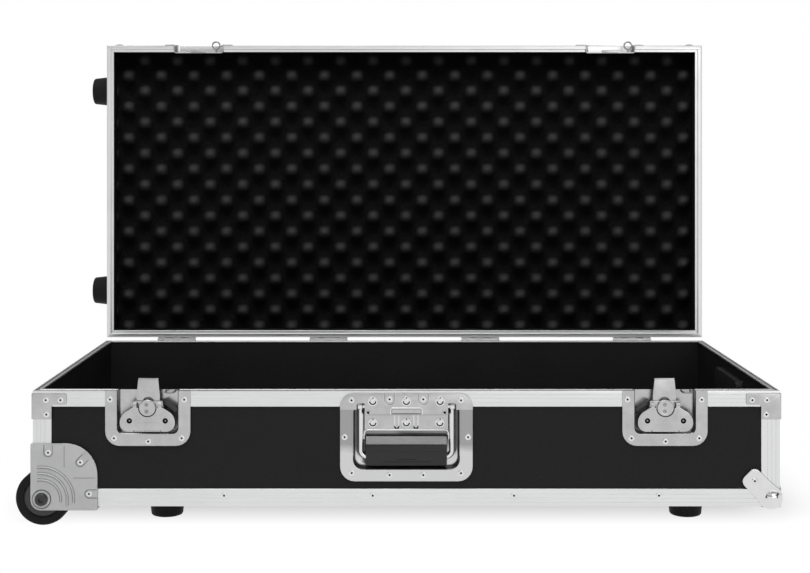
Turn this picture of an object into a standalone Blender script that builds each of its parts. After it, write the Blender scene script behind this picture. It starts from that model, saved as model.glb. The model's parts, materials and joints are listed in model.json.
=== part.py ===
"""Guitar pedal case: a plywood flight case with a hinged lid, butterfly latches, spring handles and wheels.

Units are metres. In the case's own frame x runs across the front, y runs from the front face
to the back, and z is up from the ground. The lid stands open at a right angle.
"""

import math

import bmesh
import bpy
from mathutils import Matrix, Vector

# The whole case.
CASE_WIDTH = 0.867
CASE_DEPTH = 0.425
BASE_HEIGHT = 0.1344
LID_HEIGHT = 0.062
GROUND_CLEARANCE = 0.023
FIT_GAP = 0.0003
LID_SEAT_GAP = 0.0005
OVERRUN = 0.02
LID_OPEN_ANGLE = math.radians(90)

# Plywood panels.
PANEL_THICKNESS = 0.0065

# Aluminium extrusions along the edges.
EDGE_WALL = 0.0012
POST_LEG = 0.0216
BOTTOM_LEG = 0.0203
RIM_LEG = 0.0188
RIM_INNER_LEG = 0.012
TONGUE_HEIGHT = 0.0025
TONGUE_WIDTH = 0.003
TONGUE_CLEARANCE = 0.0008

# Pop rivets.
RIVET_RADIUS = 0.0035
RIVET_HEIGHT = 0.0008
RIVET_ROOT = 0.0004
RIVET_CROWN_SHARE = 0.6
RIVET_SIDES = 6
WASHER_RADIUS = 0.0055
WASHER_HEIGHT = 0.0007

# Braces over the upper corners.
BRACE_THICKNESS = 0.0012
BRACE_ARM = 0.0392
BRACE_ARM_HEIGHT = 0.0131
BRACE_POST = 0.0221
BRACE_DROP = 0.0332
BRACE_TOP_INSET = 0.0032
BRACE_RADIUS = 0.0015
BRACE_RIVETS = ((0.0155, 0.0108), (0.0325, 0.0108), (0.0162, 0.0275))

# Ball corners.
BALL_RADIUS = 0.014
BALL_INSET = 0.0085
BALL_SKIN = 0.0012
FINGER_LENGTH = 0.054
FINGER_HALF_WIDTH = 0.0125
FINGER_SKIRT = 0.019
FINGER_TIP_RADIUS = 0.008
FINGER_RIVET = 0.042

# Wheels in cast brackets at the left end.
WHEEL_RADIUS = 0.032
WHEEL_WIDTH = 0.024
WHEEL_SIDE_INSET = 0.0109
WHEEL_CLEARANCE = 0.0022
WHEEL_END_PLAY = 0.0009
TYRE_ROUNDING = 0.003
HUB_RADIUS = 0.0223
HUB_RECESS = 0.002
BRACKET_SIZE = 0.0775
BRACKET_PLATE = 0.0025
BRACKET_SIDE_PROUD = 0.0022
BRACKET_BOTTOM_PROUD = 0.0042
BRACKET_ROUND = 0.037
BRACKET_FOOT_ROUND = 0.012
BRACKET_EDGE_ROUND = 0.0015
BRACKET_LIP = 0.0003
BRACKET_FRONT_CHEEK = 0.0042
BRACKET_BACK_CHEEK = 0.0032
BRACKET_RIM_WALL = 0.0025
BRACKET_SIDE_DEPTH = 0.040
BRACKET_BOSS_RADIUS = 0.0103
BRACKET_BOSS_HEIGHT = 0.0015
BRACKET_RIVETS = ((0.0183, 0.0628), (0.0555, 0.0515), (0.0657, 0.0150))
AXLE_RADIUS = 0.004
AXLE_HEAD_RADIUS = 0.0072
AXLE_HEAD_HEIGHT = 0.0045
AXLE_SOCKET_RADIUS = 0.0035
AXLE_SOCKET_DEPTH = 0.0025

# Rubber feet.
FOOT_RADIUS = 0.021
FOOT_TAPER = 0.002
FOOT_ROUNDING = 0.003
FOOT_LEFT_SHARE = -0.33
FOOT_RIGHT_SHARE = 0.386
FOOT_EDGE_DISTANCE = 0.056
LID_FOOT_DISTANCE = 0.066
LID_FOOT_RISE = 0.026

# Butterfly latches, measured from the rim down and from the front face outward.
LATCH_END_DISTANCE = 0.1335
LATCH_DISH_WIDTH = 0.099
LATCH_DISH_DROP = 0.0642
LATCH_DISH_ROUND = 0.017
LATCH_CUP_WIDTH = 0.0696
LATCH_CUP_DROP = 0.0492
LATCH_CUP_DEPTH = 0.010
LATCH_CUP_ROUND = 0.006
DISH_WALL = 0.001
DISH_FLANGE_ROUND = 0.002
LATCH_BOSS_DROP = 0.0195
LATCH_BOSS_RADIUS = 0.0095
LATCH_BOSS_HEIGHT = 0.0022
LATCH_COLLAR_RADIUS = 0.0062
LATCH_PIN_RADIUS = 0.0035
LATCH_PIN_HEAD_RADIUS = 0.0055
LATCH_PIN_HEAD_HEIGHT = 0.0015
HOOK_THICKNESS = 0.0015
HOOK_RISE = 0.0122
HOOK_TOP_WIDTH = 0.0235
HOOK_WIDTH = 0.0273
HOOK_SHOULDER_DROP = 0.008
HOOK_TAIL = 0.004
HOOK_FACE_DEPTH = 0.0025
HOOK_LIP_REACH = 0.0025
HOOK_PULL_DOWN = 0.0054
HOOK_PULL_IN = 0.0025
YOKE_HALF_WIDTH = 0.018
YOKE_THICKNESS = 0.0012
YOKE_RISE = 0.0074
YOKE_FOOT = 0.006
YOKE_HOOK_GAP = 0.0007
EAR_THICKNESS = 0.0012
EAR_HALF_HEIGHT = 0.0025
WING_AXIS_RISE = 0.0044
WING_THICKNESS = 0.0015
WING_CORNER_SPREAD = 0.0215
WING_CORNER_DROP = 0.0172
WING_CORNER_RADIUS = 0.0105
WING_HOLE_RADIUS = 0.0032
WING_HOLE_SPREAD = 0.0208
WING_HOLE_DROP = 0.0150
WING_NOTCH_GAP = 0.0012
WING_ARM_INNER = 0.0125
WING_BARREL_RADIUS = 0.0022
WING_PIN_RADIUS = 0.0011
LATCH_RIVETS = ((-0.0436, 0.0101), (0.0424, 0.0103), (-0.0390, 0.0550), (0.0006, 0.0588), (0.0395, 0.0550))
DETENT_START = (0.0175, 0.0125)
DETENT_END = (0.0330, 0.0240)
DETENT_WIDTH = 0.007
DETENT_FACE_DEPTH = 0.003
EYE_OFFSET = 0.0255
EYE_RADIUS = 0.0064
EYE_HOLE_RADIUS = 0.0042
EYE_THICKNESS = 0.0022
EYE_RIM_GAP = 0.0004

# Keepers on the lid, above the rim.
KEEPER_DISH_RISE = 0.031
KEEPER_CUP_RISE = 0.017
KEEPER_NOSE_WIDTH = 0.024
KEEPER_NOSE_RISE = 0.0050
KEEPER_NOSE_GAP = 0.0003
KEEPER_RIVETS = ((-0.0425, 0.0100), (0.0425, 0.0100), (-0.0300, 0.0245), (0.0300, 0.0245))

# Recessed spring handles, one on the front and one on the right end.
HANDLE_WIDTH = 0.154
HANDLE_TOP_DROP = 0.0024
HANDLE_BOTTOM_DROP = 0.1052
HANDLE_ROUND = 0.017
HANDLE_FLANGE = 0.0012
HANDLE_CUP_BORDER = 0.016
HANDLE_CUP_TOP_DROP = 0.0144
HANDLE_CUP_BOTTOM_DROP = 0.0906
HANDLE_CUP_DEPTH = 0.015
HANDLE_CUP_ROUND = 0.012
BACKPLATE_THICKNESS = 0.001
BACKPLATE_SIDE_DROP = 0.0220
BACKPLATE_STEP_DROP = 0.0283
SHELF_SIDE_CLEARANCE = 0.0121
SHELF_DEPTH = 0.006
SHELF_BOTTOM_DROP = 0.0469
SHELF_BEAD_RADIUS = 0.0016
FRAME_HALF_WIDTH = 0.019
FRAME_TOP_DROP = 0.0190
FRAME_BAR = 0.0016
FRAME_HEIGHT = 0.0008
TAB_SPREAD = 0.0112
TAB_RADIUS = 0.0032
TAB_LENGTH = 0.0135
BIG_RIVET_END_DISTANCE = 0.0099
BIG_RIVET_UPPER_DROP = 0.0120
BIG_RIVET_LOWER_DROP = 0.0385
UPPER_RIVET_SHARES = (-0.826, -0.253, 0.254, 0.822)
UPPER_RIVET_DROPS = (0.0108, 0.0096, 0.0096, 0.0108)
LOWER_RIVET_SHARES = (-0.93, 0.929, -0.823, -0.253, 0.254, 0.822)
LOWER_RIVET_DROPS = (0.0537, 0.0537, 0.0952, 0.0976, 0.0976, 0.0955)
BAIL_ROD_RADIUS = 0.00325
BAIL_SIDE_CLEARANCE = 0.008
BAIL_AXIS_DROP = 0.0188
BAIL_AXIS_DEPTH = 0.005
BAIL_STUB = 0.012
BAIL_BOTTOM_DROP = 0.0775
BAIL_BEND_RADIUS = 0.006
BAIL_NOTCH_CLEARANCE = 0.0015
LUG_THICKNESS = 0.005
LUG_HALF_HEIGHT = 0.0044
GRIP_END_CLEARANCE = 0.006
GRIP_TOP_DROP = 0.0527
GRIP_BOTTOM_DROP = 0.0884
GRIP_THICKNESS = 0.0130
GRIP_ROUND = 0.005

# Hinges along the back rim.
HINGE_OFFSET = 0.004
HINGE_COUNT = 4
HINGE_END_DISTANCE = 0.102
HINGE_LENGTH = 0.055
HINGE_KNUCKLES = 5
HINGE_BARREL_RADIUS = 0.0032
HINGE_PIN_RADIUS = 0.0015
HINGE_LEAF_HEIGHT = 0.030
HINGE_LEAF_THICKNESS = 0.0012
HINGE_TOOTH_INSET = 0.0008
HINGE_RIVET_SHARES = (-0.32, 0.32)
HINGE_RIVET_DROP = 0.020
HINGE_SIDES = 8

# Egg-crate foam in the lid.
FOAM_PEAK_SPACING = 0.047
FOAM_ROW_SPACING = 0.0225
FOAM_BACKING = 0.010
FOAM_PEAK_HEIGHT = 0.018
FOAM_EDGE_GAP = 0.0008

# Rivets in the edge extrusions, as shares of the panel's width from its middle.
EDGE_RIVET_SHARES = (-0.244, -0.045, 0.144, 0.338)
END_RIVET_SHARES = (-0.2, 0.2)
EDGE_RIVET_RISE_SHARE = 0.62

# Sides used for round pieces.
SIDES_FINE = 24
SIDES_MEDIUM = 16
SIDES_COARSE = 8
ARC_STEPS = 4
SMOOTH_ANGLE = math.radians(35)
WELD_DISTANCE = 0.00001

# Worked out from the sizes above.
RIM_Z = GROUND_CLEARANCE + BASE_HEIGHT
LID_RIM_Z = RIM_Z + LID_SEAT_GAP
LID_TOP_Z = LID_RIM_Z + LID_HEIGHT
PANEL_INSET = EDGE_WALL + FIT_GAP
RIM_WIDTH = PANEL_INSET + PANEL_THICKNESS + PANEL_INSET
HALF_WIDTH = CASE_WIDTH / 2
INNER_HALF_WIDTH = HALF_WIDTH - PANEL_INSET - PANEL_THICKNESS
HINGE_Y = CASE_DEPTH + HINGE_OFFSET
FLANGE_FACE = FIT_GAP + DISH_WALL
HANDLE_FACE = FIT_GAP + HANDLE_FLANGE
HANDLE_CUP_WIDTH = HANDLE_WIDTH - 2 * HANDLE_CUP_BORDER
SHELF_HALF_WIDTH = HANDLE_CUP_WIDTH / 2 - SHELF_SIDE_CLEARANCE
BIG_RIVET_SPREAD = SHELF_HALF_WIDTH - BIG_RIVET_END_DISTANCE
BAIL_HALF_WIDTH = HANDLE_CUP_WIDTH / 2 - BAIL_SIDE_CLEARANCE
GRIP_LENGTH = 2 * (BAIL_HALF_WIDTH - GRIP_END_CLEARANCE)
BACKPLATE_BACK = HANDLE_FACE + FIT_GAP
BACKPLATE_FACE = BACKPLATE_BACK + BACKPLATE_THICKNESS
WING_BACK = FLANGE_FACE + RIVET_HEIGHT + FIT_GAP
WING_AXIS_PROUD = WING_BACK + WING_THICKNESS / 2
BRACE_OUTER = FIT_GAP + BRACE_THICKNESS
JOINT_OVERLAP = RIM_LEG / 2
LATCH_WINDOW_HALF = LATCH_CUP_WIDTH / 2 + DISH_WALL + FIT_GAP
LATCH_XS = {"left": LATCH_END_DISTANCE - HALF_WIDTH, "right": HALF_WIDTH - LATCH_END_DISTANCE}
HINGE_SPACING = (CASE_WIDTH - 2 * HINGE_END_DISTANCE) / (HINGE_COUNT - 1)
HINGE_XS = [HINGE_END_DISTANCE - HALF_WIDTH + HINGE_SPACING * index for index in range(HINGE_COUNT)]
WHEEL_AXLE_RISE = WHEEL_RADIUS - GROUND_CLEARANCE
WHEEL_CAVITY_RADIUS = WHEEL_RADIUS + WHEEL_CLEARANCE
WHEEL_CAVITY_START = BRACKET_FRONT_CHEEK - BRACKET_PLATE - FIT_GAP
WHEEL_CAVITY_END = WHEEL_CAVITY_START + WHEEL_WIDTH + 2 * WHEEL_END_PLAY
WHEEL_CENTRE_Y = WHEEL_CAVITY_START + WHEEL_END_PLAY + WHEEL_WIDTH / 2
HOUSING_X = WHEEL_SIDE_INSET + WHEEL_CAVITY_RADIUS + BRACKET_RIM_WALL
HOUSING_Y = WHEEL_CAVITY_END + BRACKET_BACK_CHEEK
HOUSING_Z = WHEEL_AXLE_RISE + WHEEL_CAVITY_RADIUS + BRACKET_RIM_WALL

CORNER_NAMES = ("front_left", "front_right", "back_right", "back_left")
QUARTER = math.radians(90)
STAND_UP = Matrix(((1, 0, 0, 0), (0, 0, -1, 0), (0, 1, 0, 0), (0, 0, 0, 1)))
ALONG_X = Matrix(((0, 0, 1, 0), (1, 0, 0, 0), (0, 1, 0, 0), (0, 0, 0, 1)))
UPSIDE_DOWN = Matrix(((0, 1, 0, 0), (1, 0, 0, 0), (0, 0, -1, 0), (0, 0, 0, 1)))
SWAP_SIDES = Matrix(((0, 1, 0, 0), (1, 0, 0, 0), (0, 0, 1, 0), (0, 0, 0, 1)))


# Helpers: scene, meshes and outlines.
def clear_scene():
    for item in list(bpy.data.objects):
        bpy.data.objects.remove(item, do_unlink=True)


def make_collection(name):
    collection = bpy.data.collections.new(name)
    bpy.context.scene.collection.children.link(collection)
    return collection


def make_material(name, colour, roughness, metallic):
    material = bpy.data.materials.new(name)
    material.use_nodes = True
    shader = material.node_tree.nodes["Principled BSDF"]
    shader.inputs["Base Color"].default_value = (*colour, 1)
    shader.inputs["Roughness"].default_value = roughness
    shader.inputs["Metallic"].default_value = metallic
    material.diffuse_color = (*colour, 1)
    return material


def mesh_from(bm, name="solid"):
    mesh = bpy.data.meshes.new(name)
    bm.to_mesh(mesh)
    bm.free()
    return mesh


def evaluated_mesh(item):
    """Mesh of an object with its modifiers or its curve bevel, welded, facing out; the object goes."""
    graph = bpy.context.evaluated_depsgraph_get()
    mesh = bpy.data.meshes.new_from_object(item.evaluated_get(graph))
    bpy.data.objects.remove(item, do_unlink=True)
    bm = bmesh.new()
    bm.from_mesh(mesh)
    bmesh.ops.remove_doubles(bm, verts=bm.verts, dist=WELD_DISTANCE)
    bmesh.ops.recalc_face_normals(bm, faces=bm.faces)
    bm.to_mesh(mesh)
    bm.free()
    return mesh


def scratch_object(data):
    item = bpy.data.objects.new("scratch", data)
    bpy.context.scene.collection.objects.link(item)
    return item


def placed(mesh, matrix):
    """Copy of a mesh moved by a matrix; a mirroring matrix also turns the faces round."""
    copy = mesh.copy()
    copy.transform(matrix)
    if matrix.determinant() < 0:
        copy.flip_normals()
    return copy


def combine(operation, first, others):
    """Boolean of the first mesh with each of the others."""
    base = scratch_object(first)
    tools = []
    for mesh in others:
        tool = scratch_object(mesh)
        modifier = base.modifiers.new("cut", "BOOLEAN")
        modifier.operation = operation
        modifier.solver = "EXACT"
        modifier.object = tool
        tools.append(tool)
    result = evaluated_mesh(base)
    for tool in tools:
        bpy.data.objects.remove(tool, do_unlink=True)
    return result


def union(first, *others):
    return combine("UNION", first, others)


def difference(first, *others):
    return combine("DIFFERENCE", first, others)


def box(low, high):
    bm = bmesh.new()
    bmesh.ops.create_cube(bm, size=2)
    for vertex in bm.verts:
        vertex.co = [first if side < 0 else last for side, first, last in zip(vertex.co, low, high)]
    return mesh_from(bm)


def rod(start, end, radius, sides=SIDES_MEDIUM, end_radius=None):
    """Cylinder, or cone where the end radius differs, between two points."""
    start = Vector(start)
    axis = Vector(end) - start
    turn = axis.to_track_quat("Z", "Y").to_matrix().to_4x4()
    matrix = Matrix.Translation(start + axis / 2) @ turn
    bm = bmesh.new()
    tip = radius if end_radius is None else end_radius
    bmesh.ops.create_cone(
        bm, cap_ends=True, segments=sides, radius1=radius, radius2=tip, depth=axis.length, matrix=matrix
    )
    return mesh_from(bm)


def sweep(section, stations, closed=False):
    """Skin of a section of (inset, height) points carried round mitred corners.

    A station is a place on the outer edge and the direction in which an inset moves from it.
    """
    bm = bmesh.new()
    rings = []
    for (x, y, z), (across_x, across_y) in stations:
        rings.append([
            bm.verts.new((x + inset * across_x, y + inset * across_y, z + height)) for inset, height in section
        ])
    spans = list(zip(rings, rings[1:] + rings[:1]))
    if not closed:
        spans.pop()
        bm.faces.new(rings[0])
        bm.faces.new(rings[-1])
    for here, there in spans:
        for index in range(len(section)):
            bm.faces.new((here[index - 1], here[index], there[index], there[index - 1]))
    bmesh.ops.recalc_face_normals(bm, faces=bm.faces)
    return mesh_from(bm)


def ball(centre, radius, sides):
    bm = bmesh.new()
    bmesh.ops.create_uvsphere(
        bm, u_segments=sides, v_segments=sides // 2, radius=radius, matrix=Matrix.Translation(centre)
    )
    return mesh_from(bm)


def wire(points, radius, sides_level=2):
    """Round rod along a run of points."""
    curve = bpy.data.curves.new("wire", "CURVE")
    curve.dimensions = "3D"
    curve.bevel_depth = radius
    curve.bevel_resolution = sides_level
    curve.use_fill_caps = True
    spline = curve.splines.new("POLY")
    spline.points.add(len(points) - 1)
    for spline_point, place in zip(spline.points, points):
        spline_point.co = (*place, 1)
    return evaluated_mesh(scratch_object(curve))


def plate(outline, thickness, *holes):
    """Flat sheet standing on z = 0 with its outline in x and y."""
    curve = bpy.data.curves.new("outline", "CURVE")
    curve.dimensions = "2D"
    curve.fill_mode = "BOTH"
    curve.extrude = thickness / 2
    for points in (outline, *holes):
        spline = curve.splines.new("POLY")
        spline.points.add(len(points) - 1)
        for spline_point, place in zip(spline.points, points):
            spline_point.co = (place[0], place[1], 0, 1)
        spline.use_cyclic_u = True
    mesh = evaluated_mesh(scratch_object(curve))
    mesh.transform(Matrix.Translation((0, 0, thickness / 2)))
    return mesh


def front_plate(outline, back, front, *holes):
    """Sheet parallel to the front face, between two distances outward of it; outline in x and z."""
    sheet = plate(outline, front - back, *holes)
    sheet.transform(Matrix.Translation((0, -back, 0)) @ STAND_UP)
    return sheet


def beam(section, length):
    """Bar along x, centred on x = 0, with its section in y and z."""
    bar = plate(section, length)
    bar.transform(ALONG_X @ Matrix.Translation((0, 0, -length / 2)))
    return bar


def turned(profile, sides=SIDES_FINE):
    """Turned solid about z; the profile of (radius, height) runs down the outer side."""
    mesh = bpy.data.meshes.new("profile")
    count = len(profile)
    closed = profile[0][0] > 0
    edges = [(index, index + 1) for index in range(count - 1)]
    if closed:
        edges.append((count - 1, 0))
    mesh.from_pydata([(radius, 0, height) for radius, height in profile], edges, [])
    item = scratch_object(mesh)
    screw = item.modifiers.new("turn", "SCREW")
    screw.axis = "Z"
    screw.steps = sides
    screw.render_steps = sides
    screw.use_merge_vertices = True
    screw.merge_threshold = WELD_DISTANCE
    screw.use_normal_calculate = True
    return evaluated_mesh(item)


def rounded(corners, steps=ARC_STEPS):
    """Outline through (x, y, radius) corners, each one rounded by an arc of its radius."""
    outline = []
    count = len(corners)
    for index, (x, y, radius) in enumerate(corners):
        corner = Vector((x, y))
        before = (Vector(corners[index - 1][:2]) - corner).normalized()
        after = (Vector(corners[(index + 1) % count][:2]) - corner).normalized()
        if radius == 0:
            outline.append(corner)
            continue
        half_angle = before.angle(after) / 2
        centre = corner + (before + after).normalized() * (radius / math.sin(half_angle))
        run = radius / math.tan(half_angle)
        start = corner + before * run - centre
        end = corner + after * run - centre
        first = math.atan2(start.y, start.x)
        turn = (math.atan2(end.y, end.x) - first + math.pi) % math.tau - math.pi
        for step in range(steps + 1):
            angle = first + turn * step / steps
            outline.append(centre + Vector((math.cos(angle), math.sin(angle))) * radius)
    return outline


def circle(centre, radius, sides=SIDES_MEDIUM):
    return [
        (centre[0] + radius * math.cos(math.tau * step / sides), centre[1] + radius * math.sin(math.tau * step / sides))
        for step in range(sides)
    ]


def rivet(place, outward, root=RIVET_ROOT):
    """Low rivet head on a surface point, rooted in the sheet under it."""
    outward = Vector(outward)
    place = Vector(place)
    return rod(
        place - outward * root, place + outward * RIVET_HEIGHT, RIVET_RADIUS, RIVET_SIDES, RIVET_RADIUS * RIVET_CROWN_SHARE
    )


def washered_rivet(place, outward):
    """Rivet with a round washer under its head, as one solid."""
    outward = Vector(outward)
    place = Vector(place)
    washer = rod(place - outward * RIVET_ROOT, place + outward * WASHER_HEIGHT, WASHER_RADIUS, SIDES_COARSE)
    head = rod(place, place + outward * (WASHER_HEIGHT + RIVET_HEIGHT), RIVET_RADIUS, RIVET_SIDES)
    return union(washer, head)


# Places that repeat.
def corner_frame(index, z):
    """Frame at one of the four upright corners, x and y running into the case."""
    x = -HALF_WIDTH if index in (0, 3) else HALF_WIDTH
    y = 0 if index in (0, 1) else CASE_DEPTH
    return Matrix.Translation((x, y, z)) @ Matrix.Rotation(QUARTER * index, 4, "Z")


def corner_station(index, z):
    """Station at one of the four upright corners, for a sweep that mitres there."""
    frame = corner_frame(index, z)
    inward = frame.to_3x3() @ Vector((1, 1, 0))
    return (frame.translation, (inward.x, inward.y))


def side_frames(z):
    """Frames at the middle of the front, right, back and left faces, -y pointing out of the case."""
    places = ((0, 0), (HALF_WIDTH, CASE_DEPTH / 2), (0, CASE_DEPTH), (-HALF_WIDTH, CASE_DEPTH / 2))
    return [
        Matrix.Translation((x, y, z)) @ Matrix.Rotation(QUARTER * index, 4, "Z")
        for index, (x, y) in enumerate(places)
    ]


def latch_frame(side):
    return Matrix.Translation((LATCH_XS[side], 0, RIM_Z))


def wheel_corner_frames():
    """Frames at the two lower left corners; the back one is mirrored."""
    front = Matrix.Translation((-HALF_WIDTH, 0, GROUND_CLEARANCE))
    back = Matrix.Translation((-HALF_WIDTH, CASE_DEPTH, GROUND_CLEARANCE)) @ Matrix.Diagonal((1, -1, 1, 1))
    return {"front": front, "back": back}


# Cutters for the windows that the dishes and the wheel housings sit in.
def latch_windows():
    half = LATCH_WINDOW_HALF
    bottom = RIM_Z - LATCH_CUP_DROP - DISH_WALL - FIT_GAP
    top = RIM_Z + KEEPER_CUP_RISE + DISH_WALL + FIT_GAP
    return [box((x - half, -OVERRUN, bottom), (x + half, OVERRUN, top)) for x in LATCH_XS.values()]


def handle_window():
    """Window for a handle's cup, in the handle's own frame at the middle of the rim."""
    half = HANDLE_CUP_WIDTH / 2 + HANDLE_FLANGE + FIT_GAP
    bottom = -HANDLE_CUP_BOTTOM_DROP - HANDLE_FLANGE - FIT_GAP
    top = -HANDLE_CUP_TOP_DROP + HANDLE_FLANGE + FIT_GAP
    return box((-half, -OVERRUN, bottom), (half, OVERRUN, top))


def wheel_cutouts():
    inner = (HOUSING_X + FIT_GAP, HOUSING_Y + FIT_GAP, HOUSING_Z + FIT_GAP)
    block = box((-OVERRUN, -OVERRUN, -OVERRUN), inner)
    return [placed(block, frame) for frame in wheel_corner_frames().values()]


# Plywood panels.
def base_panels():
    half = HALF_WIDTH - PANEL_INSET
    foot = GROUND_CLEARANCE + PANEL_INSET
    top = RIM_Z - PANEL_INSET
    front_half = INNER_HALF_WIDTH - FIT_GAP
    back = CASE_DEPTH - PANEL_INSET
    floor_y = PANEL_INSET + PANEL_THICKNESS + FIT_GAP
    front_handle, side_handle = handle_frames()
    wheels = wheel_cutouts()
    floor = box((-front_half, floor_y, foot), (front_half, CASE_DEPTH - floor_y, foot + PANEL_THICKNESS))
    front = box((-front_half, PANEL_INSET, foot), (front_half, PANEL_INSET + PANEL_THICKNESS, top))
    rear = box((-front_half, back - PANEL_THICKNESS, foot), (front_half, back, top))
    left = box((-half, PANEL_INSET, foot), (-INNER_HALF_WIDTH, back, top))
    right = box((INNER_HALF_WIDTH, PANEL_INSET, foot), (half, back, top))
    return {
        "base_floor_panel": difference(floor, *wheels),
        "base_front_panel": difference(front, *wheel_cutouts(), *latch_windows(), placed(handle_window(), front_handle)),
        "base_back_panel": difference(rear, *wheel_cutouts()),
        "base_left_panel": difference(left, *wheel_cutouts()),
        "base_right_panel": difference(right, placed(handle_window(), side_handle)),
    }


def lid_panels():
    """The lid's top panel and its four walls, which are glued into one frame."""
    half = HALF_WIDTH - PANEL_INSET
    back = CASE_DEPTH - PANEL_INSET
    foot = LID_RIM_Z + lid_web_height() + FIT_GAP
    under_top = LID_TOP_Z - PANEL_INSET - PANEL_THICKNESS
    walls = box((-half, PANEL_INSET, foot), (half, back, under_top - FIT_GAP))
    inner_y = PANEL_INSET + PANEL_THICKNESS
    room = box((-INNER_HALF_WIDTH, inner_y, foot - OVERRUN), (INNER_HALF_WIDTH, CASE_DEPTH - inner_y, LID_TOP_Z))
    return {
        "lid_top_panel": box((-half, PANEL_INSET, under_top), (half, back, LID_TOP_Z - PANEL_INSET)),
        "lid_wall_frame": difference(walls, room, *latch_windows()),
    }


# Aluminium extrusions.
def lid_web_height():
    """Height of the lid rim's web, which holds the rebate for the base's tongue."""
    return TONGUE_HEIGHT + TONGUE_CLEARANCE + EDGE_WALL


def base_rim_section():
    inner = RIM_WIDTH - TONGUE_WIDTH
    return [
        (0, 0), (0, -RIM_LEG), (EDGE_WALL, -RIM_LEG), (EDGE_WALL, -EDGE_WALL),
        (RIM_WIDTH - EDGE_WALL, -EDGE_WALL), (RIM_WIDTH - EDGE_WALL, -RIM_INNER_LEG),
        (RIM_WIDTH, -RIM_INNER_LEG), (RIM_WIDTH, TONGUE_HEIGHT), (inner, TONGUE_HEIGHT), (inner, 0),
    ]


def lid_rim_section():
    inner = RIM_WIDTH - TONGUE_WIDTH - TONGUE_CLEARANCE
    rebate = TONGUE_HEIGHT + TONGUE_CLEARANCE
    web = lid_web_height()
    return [
        (0, 0), (inner, 0), (inner, rebate), (RIM_WIDTH, rebate), (RIM_WIDTH, RIM_INNER_LEG),
        (RIM_WIDTH - EDGE_WALL, RIM_INNER_LEG), (RIM_WIDTH - EDGE_WALL, web), (EDGE_WALL, web),
        (EDGE_WALL, RIM_LEG), (0, RIM_LEG),
    ]


def angle_section(leg, height, wall):
    """L section with its outer corner at the origin."""
    return [(0, 0), (leg, 0), (leg, wall), (wall, wall), (wall, height), (0, height)]


def rim_frames(section, z):
    """Two lengths of rim: one round the sides and back up to the latches, one between the latches."""
    latch_right = LATCH_XS["right"]
    outer = latch_right + LATCH_WINDOW_HALF
    inner = latch_right - LATCH_WINDOW_HALF
    along = (0, 1)
    round_back = [((-outer, 0, z), along), *(corner_station(index, z) for index in (0, 3, 2, 1)), ((outer, 0, z), along)]
    return sweep(section, round_back), sweep(section, [((-inner, 0, z), along), ((inner, 0, z), along)])


def corner_post(index, low, high):
    post = plate(angle_section(POST_LEG, POST_LEG, EDGE_WALL), high - low)
    return placed(post, corner_frame(index, low))


def base_extrusions():
    rim, rim_front = rim_frames(base_rim_section(), RIM_Z)
    front_handle, side_handle = handle_frames()
    post_top = RIM_Z - RIM_LEG
    left_posts = [
        corner_post(index, GROUND_CLEARANCE + HOUSING_Z + FIT_GAP, post_top + JOINT_OVERLAP) for index in (0, 3)
    ]
    back_braces = [placed(riveted_brace(BRACE_THICKNESS + FIT_GAP + EDGE_WALL / 2), corner_frame(index, RIM_Z))
                   for index in (2, 3)]
    rim = difference(union(rim, *left_posts), placed(handle_window(), side_handle))
    start = HOUSING_X + FIT_GAP - HALF_WIDTH
    z = GROUND_CLEARANCE
    stations = [
        ((start, 0, z), (0, 1)), corner_station(1, z), corner_station(2, z), ((start, CASE_DEPTH, z), (0, -1)),
    ]
    section = angle_section(BOTTOM_LEG, BOTTOM_LEG, EDGE_WALL)
    lower = sweep(section, stations)
    right_posts = [corner_post(index, z + BOTTOM_LEG - JOINT_OVERLAP, post_top - FIT_GAP) for index in (1, 2)]
    end = HOUSING_Y + FIT_GAP
    lower_left = sweep(section, [((-HALF_WIDTH, end, z), (1, 0)), ((-HALF_WIDTH, CASE_DEPTH - end, z), (1, 0))])
    rivets = edge_rivets(z + BOTTOM_LEG * EDGE_RIVET_RISE_SHARE)
    return {
        "base_rim_frame": union(rim, *back_braces),
        "base_rim_front": difference(rim_front, placed(handle_window(), front_handle)),
        "base_lower_frame": union(lower, *right_posts, *rivets["front"], *rivets["right"], *rivets["back"]),
        "base_lower_edge_left": union(lower_left, *rivets["left"]),
    }


def lid_extrusions():
    rim, rim_front = rim_frames(lid_rim_section(), LID_RIM_Z)
    section = [(inset, -height) for inset, height in angle_section(BOTTOM_LEG, BOTTOM_LEG, EDGE_WALL)]
    top = sweep(section, [corner_station(index, LID_TOP_Z) for index in range(4)], closed=True)
    low = LID_RIM_Z + RIM_LEG + FIT_GAP
    high = LID_TOP_Z - BOTTOM_LEG + JOINT_OVERLAP
    posts = [corner_post(index, low, high) for index in range(4)]
    rivets = edge_rivets(LID_TOP_Z - BOTTOM_LEG * EDGE_RIVET_RISE_SHARE)
    return {
        "lid_rim_frame": rim,
        "lid_rim_front": rim_front,
        "lid_top_frame": union(top, *posts, *rivets["front"], *rivets["right"], *rivets["back"]),
    }


def edge_rivets(z):
    """Rivets in the edge extrusions at one height, for each side of the case."""
    rivets = {}
    lengths = (CASE_WIDTH, CASE_DEPTH, CASE_WIDTH, CASE_DEPTH)
    shares = (EDGE_RIVET_SHARES, END_RIVET_SHARES, EDGE_RIVET_SHARES, END_RIVET_SHARES)
    for name, frame, length, places in zip(("front", "right", "back", "left"), side_frames(z), lengths, shares):
        rivets[name] = [placed(rivet((length * share, 0, 0), (0, -1, 0)), frame) for share in places]
    return rivets


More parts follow.
